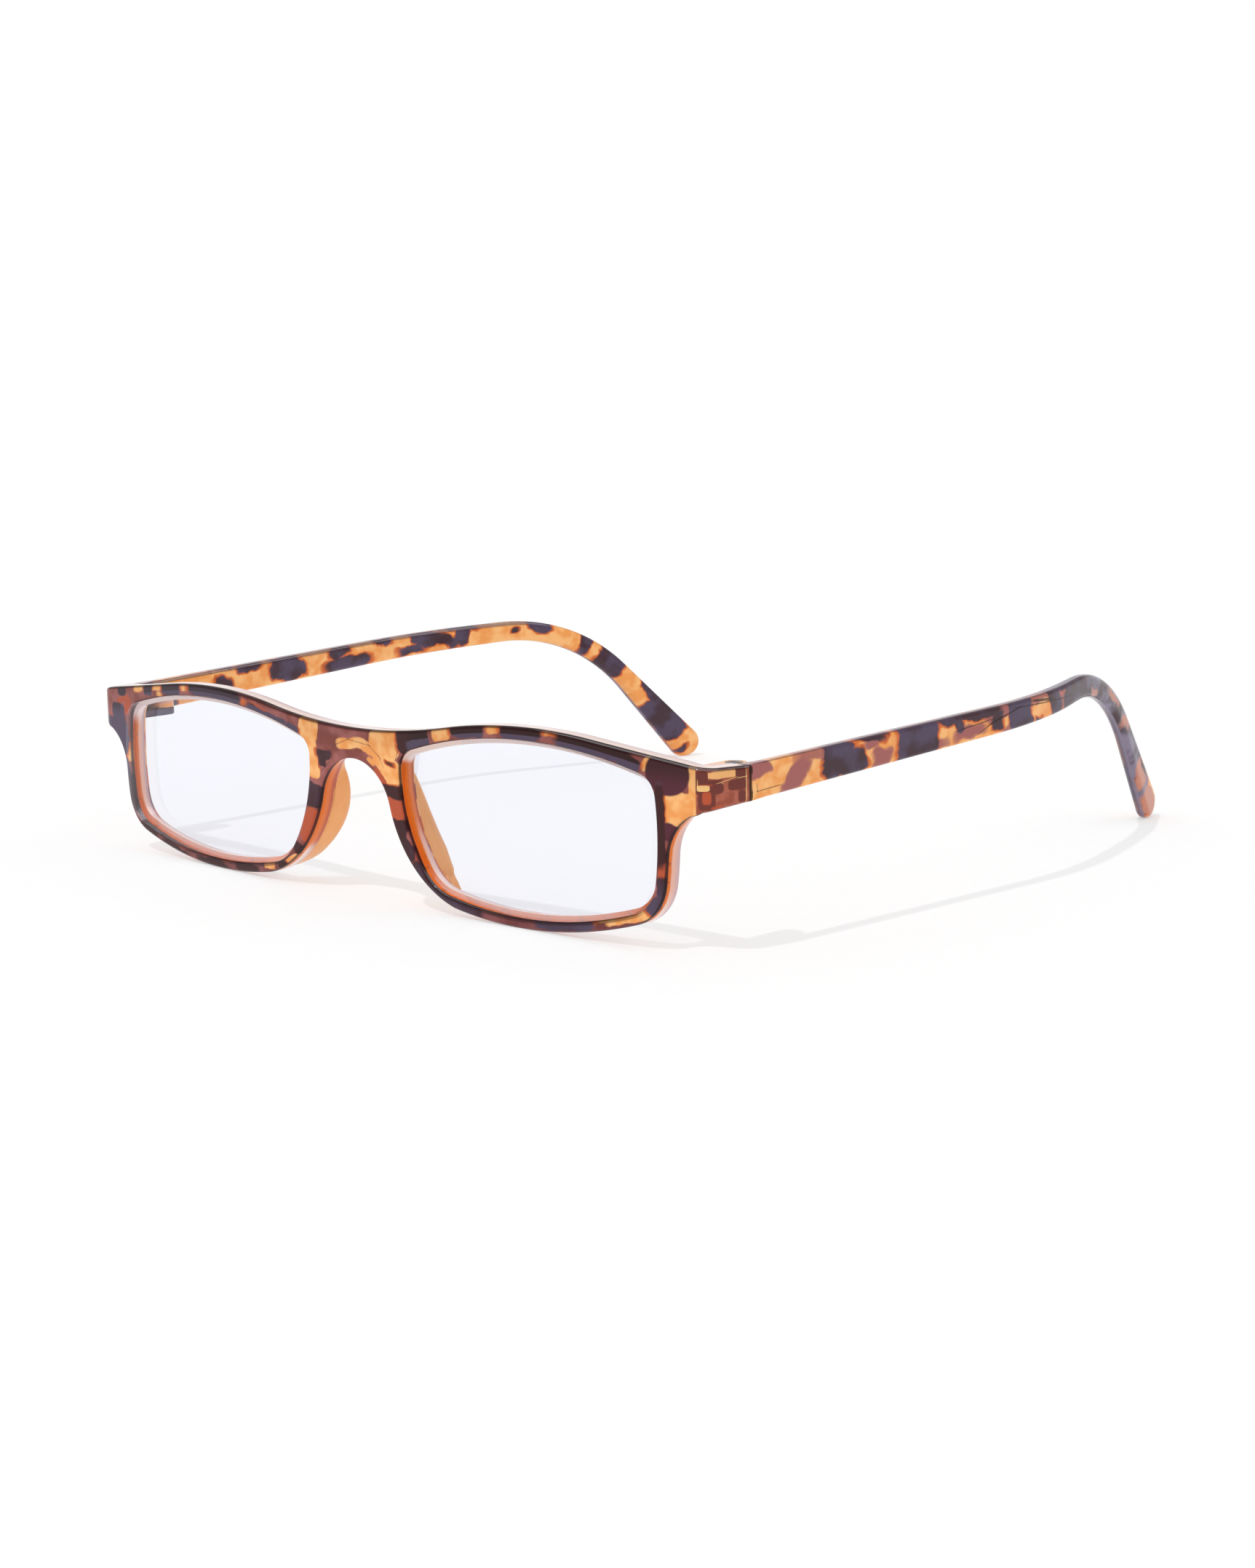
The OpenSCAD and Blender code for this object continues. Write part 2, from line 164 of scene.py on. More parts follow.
def crossing(a, ra, b, rb, side):
    """Crossing of two circles, left (1) or right (-1) of the line from a to b."""
    d = math.dist(a, b)
    k = (ra * ra - rb * rb + d * d) / (2 * d)
    h = math.sqrt(ra * ra - k * k)
    ux, uy = (b[0] - a[0]) / d, (b[1] - a[1]) / d
    return (a[0] + k * ux - side * h * uy, a[1] + k * uy + side * h * ux)


def corner(a, b, r, side):
    """Circle that rounds the corner between two circles from inside."""
    return (crossing(a[0], a[1] - r, b[0], b[1] - r, side), r)


def following(a, b):
    """Direction b written so that it is not less than a."""
    return b + 360 if b < a else b


# Circles of the lens shape: top, bottom, outer side and nose side, then the four corners.
TOP_ARC, LOW_ARC, OUT_ARC, NOSE_ARC = 80.0, 72.0, 45.0, 23.0
TOP = ((CREST[0], OPEN_TOP - TOP_ARC), TOP_ARC)
LOW = ((HALF_GAP + SAG_SHARE * OPENING_WIDTH, OPEN_LOW + LOW_ARC), LOW_ARC)
OUT = ((OPEN_OUT - OUT_ARC, OPEN_LOW + OUT_SHARE * OPENING_HEIGHT), OUT_ARC)
NOSE = ((HALF_GAP + NOSE_ARC, OPEN_LOW + NOSE_SHARE * OPENING_HEIGHT), NOSE_ARC)
K_OUT = corner(TOP, OUT, 3.5, -1)
K_NOSE = corner(TOP, NOSE, 3.0, 1)
K_LOW = corner(LOW, NOSE, 8.5, -1)
K_END = corner(LOW, OUT, 5.5, 1)


def lens_directions():
    """Directions at which the sides and corners of the lens shape meet."""
    d = [direction(OUT[0], K_END[0])]
    for side, turn in (
        (OUT, K_OUT), (TOP, K_OUT), (TOP, K_NOSE), (NOSE, K_NOSE),
        (NOSE, K_LOW), (LOW, K_LOW), (LOW, K_END),
    ):
        d.append(following(d[-1], direction(side[0], turn[0])))
    return d + [d[0] + 360]


LENS_DIRECTIONS = lens_directions()


def lens_loop():
    """Lens shape of the right side, anticlockwise from the front."""
    d = LENS_DIRECTIONS
    parts = (
        (OUT, 14), (K_OUT, 8), (TOP, 40), (K_NOSE, 8),
        (NOSE, 20), (K_LOW, 12), (LOW, 34), (K_END, 12),
    )
    points = []
    for i, ((centre, radius), n) in enumerate(parts):
        points += arc(centre, radius, d[i], d[i + 1], n)
    return points


# Brow, saddle, arch and nose side of the front.
BROW_ARC = 95.0
FALL = math.degrees(math.atan(BROW_FALL))
BROW_C = (CREST[0], CREST[1] - BROW_ARC)
BROW_T = at(BROW_C, BROW_ARC, 90 - FALL)
END_TOP = BROW_T[1] - BROW_FALL * (FLANK - BROW_T[0])
END_LOW = END_TOP - END_HEIGHT
KNUCKLE_TOP = END_TOP - KNUCKLE_DROP
TONGUE_TOP = KNUCKLE_TOP - UPPER_KNUCKLE
TONGUE_LOW = TONGUE_TOP - TONGUE
KNUCKLE_LOW = END_LOW + KNUCKLE_RISE
SADDLE_Z = CREST[1] - SADDLE_DIP
SADDLE_SUM = (CREST[0] ** 2 + SADDLE_DIP ** 2) / (2 * SADDLE_DIP)
SADDLE_ARC = SADDLE_SUM - BROW_ARC
SADDLE_X = CREST[0] * SADDLE_ARC / SADDLE_SUM
NOTCH_ARC = 18.6
NOTCH_IN = 2.9
NOTCH_FOOT = 0.4
NOTCH_C = (HALF_GAP - NOTCH_IN + NOTCH_ARC, NOTCH_ARC + NOTCH_FOOT)
ARCH_TOP = SADDLE_Z - BRIDGE_HEIGHT
ARCH_RISE = ARCH_TOP - NOTCH_C[1]
ARCH_ARC = (NOTCH_C[0] ** 2 + ARCH_RISE ** 2 - NOTCH_ARC ** 2) / (2 * (NOTCH_ARC + ARCH_RISE))
ARCH_C = (0.0, ARCH_TOP - ARCH_ARC)
ARCH_A = direction(ARCH_C, NOTCH_C)

# Curve under an end piece and the direction at which it gives way to the lower edge.
FILLET = 7.0
FILLET_END = 118
RUN_OUT_STEP = 0.45
RUN_OUT_TURN = 4
RUN_OUT_DROP = 0.05
FILLET_Z = END_LOW - FILLET
FILLET_REACH = math.sqrt((OUT_ARC + RIM + FILLET) ** 2 - (FILLET_Z - OUT[0][1]) ** 2)
FILLET_C = (OUT[0][0] + FILLET_REACH, FILLET_Z)


def corner_centre():
    """Centre of the rounded corner, tangent to the bowed face and the sloping flank."""
    t = math.radians(FLANK_TILT)
    way = (math.sin(t), math.cos(t))
    q = (FLANK - CORNER * way[1], GAP_Y + CORNER * way[0] - BOW)
    dot = q[0] * way[0] + q[1] * way[1]
    slide = -dot - math.sqrt(dot * dot - q[0] ** 2 - q[1] ** 2 + (BOW - CORNER) ** 2)
    return (q[0] + slide * way[0], q[1] + slide * way[1] + BOW)


# Developed length round the outer corner of an end piece.
CORNER_C = corner_centre()
CORNER_A = direction((0, BOW), CORNER_C)
CORNER_SWEEP = math.radians(-FLANK_TILT - CORNER_A)
U_FACE = at(CORNER_C, CORNER, CORNER_A)[0]
U_TURN = U_FACE + CORNER * CORNER_SWEEP
TURN_END = at(CORNER_C, CORNER, -FLANK_TILT)
U_END = U_TURN + math.dist(TURN_END, (FLANK, GAP_Y))
U_SPLIT = FLANK - END_THICK - INNER_CORNER


def outer_point(a):
    """Point of the outer surface seen from above at a developed length."""
    if a <= U_FACE:
        return (a, bow_y(a))
    if a <= U_TURN:
        return at(CORNER_C, CORNER, CORNER_A + math.degrees((a - U_FACE) / CORNER))
    t = math.radians(FLANK_TILT)
    return (TURN_END[0] + (a - U_TURN) * math.sin(t), TURN_END[1] + (a - U_TURN) * math.cos(t))


def inner_point(a):
    """Point of the inner surface that belongs to a developed length."""
    back = bow_y(U_SPLIT) + DEPTH
    turn = INNER_CORNER * math.pi / 2
    along = (a - U_SPLIT) / (U_END - U_SPLIT) * (turn + GAP_Y - back - INNER_CORNER)
    if along <= turn:
        centre = (U_SPLIT, back + INNER_CORNER)
        return at(centre, INNER_CORNER, -90 + math.degrees(along / INNER_CORNER))
    return (FLANK - END_THICK, back + INNER_CORNER + along - turn)


# Lower edge of an end piece: (distance back, height).
END_LOW_STEPS = (
    (CORNER_Y - 0.6, END_LOW - 0.75), (CORNER_Y + 0.2, END_LOW + 0.02),
    (CORNER_Y + 1.8, END_LOW + 0.35), (GAP_Y - 0.5, KNUCKLE_LOW),
)


def end_low(a):
    """Height of the lower edge of an end piece at a developed length."""
    y = outer_point(a)[1]
    for (y0, z0), (y1, z1) in zip(END_LOW_STEPS, END_LOW_STEPS[1:]):
        if y <= y1:
            return z0 + (z1 - z0) * max(0.0, y - y0) / (y1 - y0)
    return KNUCKLE_LOW


def end_top(a):
    """Height of the upper edge of an end piece at a developed length."""
    x, y = outer_point(a)
    return END_TOP + min(BROW_FALL * (FLANK - x), max(0.0, END_SLOPE * (GAP_Y - y)) + 0.02)


def traced(u0, u1, n, height):
    """Points of an edge between two developed lengths, without its ends."""
    lengths = [u0 + (u1 - u0) * i / n for i in range(1, n)]
    return [(u, height(u)) for u in lengths]


def front_loop():
    """Outline of the front on the developed sheet, anticlockwise from the front."""
    low_cross = crossing(LOW[0], LOW_ARC + RIM, NOTCH_C, NOTCH_ARC, -1)
    d = LENS_DIRECTIONS

    def bearing(a, b):
        return following(0, direction(a, b))

    # From the arch down the notch, along the lower rim and up to the end piece.
    right = arc(ARCH_C, ARCH_ARC, 90, ARCH_A, 16)
    right += arc(NOTCH_C, NOTCH_ARC, 180 + ARCH_A, bearing(NOTCH_C, low_cross), 20)
    right += arc(LOW[0], LOW_ARC + RIM, bearing(LOW[0], low_cross), d[7], 34)
    right += arc(K_END[0], K_END[1] + RIM, d[7], d[8], 12)
    right += arc(OUT[0], OUT_ARC + RIM, d[0], following(d[0], direction(OUT[0], FILLET_C)), 12)
    right += arc(FILLET_C, FILLET, bearing(FILLET_C, OUT[0]), FILLET_END, 12)
    # The curve runs out over six short steps.
    start = at(FILLET_C, FILLET, FILLET_END)[0]
    for i in range(1, 7):
        u = start + RUN_OUT_STEP * i
        fillet = at(FILLET_C, FILLET, FILLET_END - RUN_OUT_TURN * i)[1] - RUN_OUT_DROP * i
        right.append((u, max(end_low(u), fillet)))
    right += traced(right[-1][0], U_END - END_ROUND, 10, end_low)
    right += arc((U_END - END_ROUND, KNUCKLE_LOW + END_ROUND), END_ROUND, 270, 360, 5)
    right += [(U_END, z) for z in (KNUCKLE_LOW + END_ROUND, (KNUCKLE_LOW + END_TOP) / 2, END_TOP)]
    # Back along the upper edge, the brow and the saddle.
    right += traced(U_END, U_FACE, 14, end_top)
    right += straight((U_FACE, end_top(U_FACE)), BROW_T, 12)
    saddle_a = 270 + math.degrees(math.asin(SADDLE_X / SADDLE_ARC))
    right += arc(BROW_C, BROW_ARC, 90 - FALL, saddle_a - 180, 30)
    right += arc((0, SADDLE_Z + SADDLE_ARC), SADDLE_ARC, saddle_a, 270, 12)
    left = [(-u, v) for u, v in reversed(right[1:])]
    return right + [(0.0, SADDLE_Z)] + left


def front_place(u, v, n):
    """Sheet point of the front to its place: along the bow, then round the outer corner."""
    a = abs(u)
    side = -1 if u < 0 else 1
    if a <= U_SPLIT:
        x, y = a, bow_y(a) + n
    else:
        outer, inner = outer_point(a), inner_point(a)
        k = n / DEPTH
        x, y = outer[0] + (inner[0] - outer[0]) * k, outer[1] + (inner[1] - outer[1]) * k
    z = v
    if a < ARCH_ARC and ARCH_C[1] < v < ARCH_TOP + FLARE_REACH:
        z += FLARE_SLOPE * n * (1 - (a / ARCH_ARC) ** 2)
    return (side * x, y - ORIGIN_Y, z)


def rounded(r_front, r_back, depth, steps=5):
    """Side profile of a plate as (inset, depth) pairs, with both edges rounded."""
    turns = [math.pi / 2 * i / steps for i in range(steps + 1)]
    shares = [(1 - math.sin(a), 1 - math.cos(a)) for a in turns]
    profile = [(r_front + MARGIN, 0.0)]
    profile += [(r_front * s, r_front * c) for s, c in shares]
    profile += [(r_back * s, depth - r_back * c) for s, c in reversed(shares)]
    return profile + [(r_back + MARGIN, depth)]


def grooved(edge):
    """Side profile of a lens opening: rounded edges and the groove that holds the lens."""
    profile = rounded(edge, edge, DEPTH, 4)
    middle = len(profile) // 2
    start, end = GROOVE_START, GROOVE_START + GROOVE_WIDTH
    groove = [(0.0, start), (-GROOVE, start), (-GROOVE, end), (0.0, end)]
    return profile[:middle] + groove + profile[middle:]


def mitres(loop):
    """Vectors to the left of the direction of travel that move every side by one unit."""
    count = len(loop)
    result = []
    for i in range(count):
        (x0, y0), (x1, y1), (x2, y2) = loop[i - 1], loop[i], loop[(i + 1) % count]
        a = Vector((x1 - x0, y1 - y0)).normalized()
        b = Vector((x2 - x1, y2 - y1)).normalized()
        na, nb = Vector((-a.y, a.x)), Vector((-b.y, b.x))
        m = (na + nb).normalized()
        result.append(m / max(0.5, m.dot(na)))
    return result


def new_object(name, bm):
    """Object made from a bmesh, which is then freed."""
    mesh = bpy.data.meshes.new(name)
    bm.to_mesh(mesh)
    bm.free()
    obj = bpy.data.objects.new(name, mesh)
    bpy.context.scene.collection.objects.link(obj)
    return obj


def swept_rings(bm, loops, ease):
    """Side walls of a moulding. Gives back the first and the last ring of every loop.

    The layer "outline" is 1 on the wall of the outline and 0 on the walls of the holes.
    """
    outline = bm.verts.layers.float.new("outline")
    first, last = [], []
    for points, profile in loops:
        rank = 0.0 if first else 1.0
        mitre = mitres(points)
        depth = profile[-1][1]
        rings = []
        for inset, n in profile:
            ring = []
            for (u, v), m in zip(points, mitre):
                k_front, k_back = ease(u, v) if ease else (1.0, 1.0)
                k = k_front if n < depth / 2 else k_back
                nn = n * k if n < depth / 2 else depth - (depth - n) * k
                ring.append(bm.verts.new((u + m.x * inset * k, v + m.y * inset * k, nn)))
                ring[-1][outline] = rank
            rings.append(ring)
        for a, b in zip(rings, rings[1:]):
            for i in range(len(points)):
                j = (i + 1) % len(points)
                bm.faces.new((a[i], a[j], b[j], b[i]))
        first.append(rings[0])
        last.append(rings[-1])
    return first, last


def plate(name, loops, place, cuts_u=(), cuts_v=(), ease=None):
    """Closed moulding from sheet outlines: rounded sides, flat faces, then bent into place.

    loops holds (points, profile) pairs, the outline anticlockwise and holes clockwise.
    ease(u, v) gives factors for the front and rear rounding at a point of an outline.
    """
    bm = bmesh.new()
    for group in swept_rings(bm, loops, ease):
        edges = []
        for ring in group:
            for i in range(len(ring)):
                edges.append(bm.edges.get((ring[i], ring[(i + 1) % len(ring)])))
        bmesh.ops.triangle_fill(bm, use_beauty=True, use_dissolve=False, edges=edges)
    for axis, cuts in ((0, cuts_u), (1, cuts_v)):
        for cut in cuts:
            point, normal = [0.0, 0.0, 0.0], [0.0, 0.0, 0.0]
            point[axis], normal[axis] = cut, 1.0
            geometry = bm.verts[:] + bm.edges[:] + bm.faces[:]
            bmesh.ops.bisect_plane(bm, geom=geometry, plane_co=point, plane_no=normal, dist=1e-5)
    bmesh.ops.recalc_face_normals(bm, faces=bm.faces[:])
    outline = bm.verts.layers.float["outline"]
    sheet = bm.loops.layers.uv.new("sheet")
    wall = bm.loops.layers.uv.new("wall")
    for face in bm.faces:
        for loop in face.loops:
            u, v, n = loop.vert.co
            loop[sheet].uv = (u, v)
            loop[wall].uv = (n, loop.vert[outline])
    for vert in bm.verts:
        x, y, z = place(*vert.co)
        vert.co = (x * MM, y * MM, z * MM)
    bmesh.ops.recalc_face_normals(bm, faces=bm.faces[:])
    return new_object(name, bm)


def combine(target, other, operation):
    """Join or cut with another closed mesh, which is then removed."""
    mod = target.modifiers.new("join", "BOOLEAN")
    mod.operation = operation
    mod.solver = "EXACT"
    mod.object = other
    graph = bpy.context.evaluated_depsgraph_get()
    mesh = bpy.data.meshes.new_from_object(target.evaluated_get(graph))
    target.modifiers.clear()
    old = target.data
    target.data = mesh
    bpy.data.meshes.remove(old)
    bpy.data.objects.remove(other)


def sharpen(obj, degrees=38):
    """Smooth shading that keeps the corners above an angle crisp."""
    for poly in obj.data.polygons:
        poly.use_smooth = True
    obj.data.set_sharp_from_angle(angle=math.radians(degrees))


def hinge_leaf(name, loop, z0, z1, bore=None):
    """Knuckle or tongue that stands between two heights, with a bore for the pin."""
    loops = [(loop, rounded(LEAF_EDGE, LEAF_EDGE, z1 - z0, 3))]
    if bore:
        profile = rounded(BORE_EDGE, BORE_EDGE, z1 - z0, 2)
        loops.append((arc(PIN, bore, 0, 360, 28)[::-1], profile))
    return plate(name, loops, lambda u, v, n: (u, v - ORIGIN_Y, z0 + n))


def mirrored(obj, name):
    """Mirror image across the middle plane."""
    bm = bmesh.new()
    bm.from_mesh(obj.data)
    for v in bm.verts:
        v.co.x = -v.co.x
    bmesh.ops.reverse_faces(bm, faces=bm.faces[:])
    return new_object(name, bm)


def handed(piece, side):
    """The piece itself on the right side, its mirror image on the left one."""
    if side > 0:
        return piece
    name = piece.name
    other = mirrored(piece, name)
    bpy.data.objects.remove(piece)
    other.name = name
    return other


# Nose pads: a long arc and a foot, with the directions where they meet and where the arc ends.
PAD_ARC = 18.0
PAD_FOOT = 3.4
PAD_REACH = 6.9
PAD_JOIN = -19
PAD_END = 41.5
PAD_START = 2.0
PAD_SHEET = 2.0
PAD_EDGE = 0.85
PAD_WALL = 2.4
PAD_THIN = 0.9
PAD_CLEAR = 0.25
PAD_FAR = 5.0
PAD_SHARP = 60
PAD_LEAN_START = 3.0
PAD_LEAN = math.tan(math.radians(12))
PAD_C1 = (PAD_REACH - PAD_ARC, 0.4 * OPENING_HEIGHT)
PAD_C2 = at(PAD_C1, PAD_ARC - PAD_FOOT, PAD_JOIN)


def pad_place(y, z, n):
    """Pad sheet to its place: n runs from the nose side to the lens side."""
    dz = z - NOTCH_C[1]
    nose = NOTCH_C[0] - half_chord(NOTCH_ARC, dz)
    if z > ARCH_C[1] + ARCH_ARC * math.sin(math.radians(ARCH_A)):
        tall = ARCH_ARC / math.cos(math.radians(BRIDGE_FLARE))
        middle = ARCH_TOP - tall + y * FLARE_SLOPE
        bore = ARCH_ARC * half_chord(1.0, (z - middle) / tall)
        nose = min(nose, max(half_chord(ARCH_ARC, z - ARCH_C[1]), bore))
    lens = NOTCH_C[0] - half_chord(NOTCH_ARC - PAD_WALL, dz)
    lens -= PAD_LEAN * (y - PAD_LEAN_START)
    opening = NOSE[0][0] - half_chord(NOSE_ARC, z - NOSE[0][1])
    lens = max(nose + PAD_THIN, min(lens, opening - PAD_CLEAR, HALF_GAP + PAD_FAR))
    return (nose + (lens - nose) * n / PAD_SHEET, y - ORIGIN_Y, z)


def make_pad(name):
    """Nose pad: a plate that reaches back from a rim and ends in a round foot."""
    loop = [(PAD_START, PAD_C2[1] - PAD_FOOT)] + arc(PAD_C2, PAD_FOOT, -88, PAD_JOIN, 10)
    loop += arc(PAD_C1, PAD_ARC, PAD_JOIN, PAD_END, 30)
    top = at(PAD_C1, PAD_ARC, PAD_END)
    loop += [top, (PAD_START, top[1])]
    profile = rounded(PAD_EDGE, PAD_EDGE, PAD_SHEET, 6)
    cuts_v = [1.5 + 0.8 * i for i in range(27)]
    return plate(name, [(loop, profile)], pad_place, cuts_u=(3, 4, 5, 6), cuts_v=cuts_v)


# Temples: half thickness, height at the hinge, splay and tuck in degrees, bend and tip.
HALF_T = 1.25
TEMPLE_HEIGHT = 4.8
SPLAY = 1.5
TUCK = 18.0
SPLAY_SLOPE = math.tan(math.radians(SPLAY))
TUCK_SLOPE = math.tan(math.radians(TUCK))
BEND = 31.0
BEND_HEIGHT = 3.5
BEND_LOW = BEND - BEND_HEIGHT
BEND_BACK = 36.7
BEND_TOP = 28 / 28.3 * CREST[1]
BEND_C = (TIP_END - BEND_BACK, BEND_TOP - BEND)
TIP = 2.75
TIP_C = (TIP_END - TIP, TIP)
STRAIGHT = 0.435 * TEMPLE
SET_IN = 0.1
PLAN_1 = (FLANK - HALF_T - SET_IN + STRAIGHT * SPLAY_SLOPE, T_FRONT + STRAIGHT)
TUCK_ARC = 68.0
PLAN_C = at(PLAN_1, TUCK_ARC, 180 - SPLAY)
PLAN_2 = at(PLAN_C, TUCK_ARC, TUCK)


def tangent_from(p, c, r):
    """Direction in which a circle is touched by a line from a point."""
    return direction(c, p) - math.degrees(math.acos(r / math.dist(p, c)))


def temple_loop():
    """Side outline of a temple, anticlockwise with u straight back and v up."""
    top, low = (T_FRONT, END_TOP), (T_FRONT, END_TOP - TEMPLE_HEIGHT)
    top_a0 = tangent_from(top, BEND_C, BEND)
    low_a0 = tangent_from(low, BEND_C, BEND_LOW)
    turn = direction(BEND_C, TIP_C)
    reach = math.dist(BEND_C, TIP_C)
    top_a1 = turn + math.degrees(math.acos((BEND - TIP) / reach))
    low_a1 = turn + math.degrees(math.acos((BEND_LOW + TIP) / reach))
    loop = straight(low, at(BEND_C, BEND_LOW, low_a0), 26)
    loop += arc(BEND_C, BEND_LOW, low_a0, low_a1, 22)
    loop += straight(at(BEND_C, BEND_LOW, low_a1), at(TIP_C, TIP, low_a1 + 180), 8)
    loop += arc(TIP_C, TIP, low_a1 + 180, top_a1 + 360, 20)
    loop += straight(at(TIP_C, TIP, top_a1), at(BEND_C, BEND, top_a1), 8)
    loop += arc(BEND_C, BEND, top_a1, top_a0, 22)
    loop += straight(at(BEND_C, BEND, top_a0), top, 26)
    return loop + [top, (T_FRONT, END_TOP - TEMPLE_HEIGHT / 2)]


def temple_place(y, z, n):
    """Temple sheet to its place: n runs from the outer face to the inner one."""
    d = HALF_T - n
    if y < PLAN_1[1]:
        x = PLAN_1[0] + (y - PLAN_1[1]) * SPLAY_SLOPE + d
    elif y < PLAN_2[1]:
        x = PLAN_C[0] + half_chord(TUCK_ARC + d, y - PLAN_C[1])
    else:
        x = PLAN_2[0] - (y - PLAN_2[1]) * TUCK_SLOPE + d / math.cos(math.radians(TUCK))
    return (x, y - ORIGIN_Y, z)


# Roundings as shares of the usual ones: at the hinge gap, and added where they are fuller.
TEMPLE_TIGHT, TEMPLE_FULLER = (0.4, 0.3), (1.1, 0.35)
FRONT_TIGHT, FRONT_FULLER = (0.45, 0.3), 1.7
TIGHT_REACH = 0.3
BEND_START, BEND_RISE = 80.0, 18.0
UNDER_START, UNDER_RISE, UNDER_END = 60.1, 3.5, 66.0
UNDER_HEIGHT = (12.0, 19.6)


def temple_ease(u, v):
    """Tight edges at the hinge, fuller ones round the ear bend and the tip."""
    if u < T_FRONT + TIGHT_REACH:
        return TEMPLE_TIGHT
    full = clamp((u - BEND_START) / BEND_RISE)
    return (1 + TEMPLE_FULLER[0] * full, 1 + TEMPLE_FULLER[1] * full)


def front_ease(u, v):
    """Tight edges at the hinge gap, a fuller rear edge on the curve under an end piece."""
    a = abs(u)
    if a > U_END - TIGHT_REACH:
        return FRONT_TIGHT
    under = clamp((a - UNDER_START) / UNDER_RISE) * clamp(UNDER_END - a)
    return (1.0, 1 + FRONT_FULLER * under if UNDER_HEIGHT[0] < v < UNDER_HEIGHT[1] else 1.0)


def linear(c):
    """Screen value from 0 to 1 as an amount of light."""
    return c / 12.92 if c <= 0.04045 else ((c + 0.055) / 1.055) ** 2.4


def srgb(r, g, b):
    """Colour written as 0 to 255 screen values."""
    return tuple(linear(v / 255) for v in (r, g, b))


def rgba(value):
    """Colour with an opaque fourth value."""
    value = tuple(value)
    return value if len(value) == 4 else value + (1.0,)


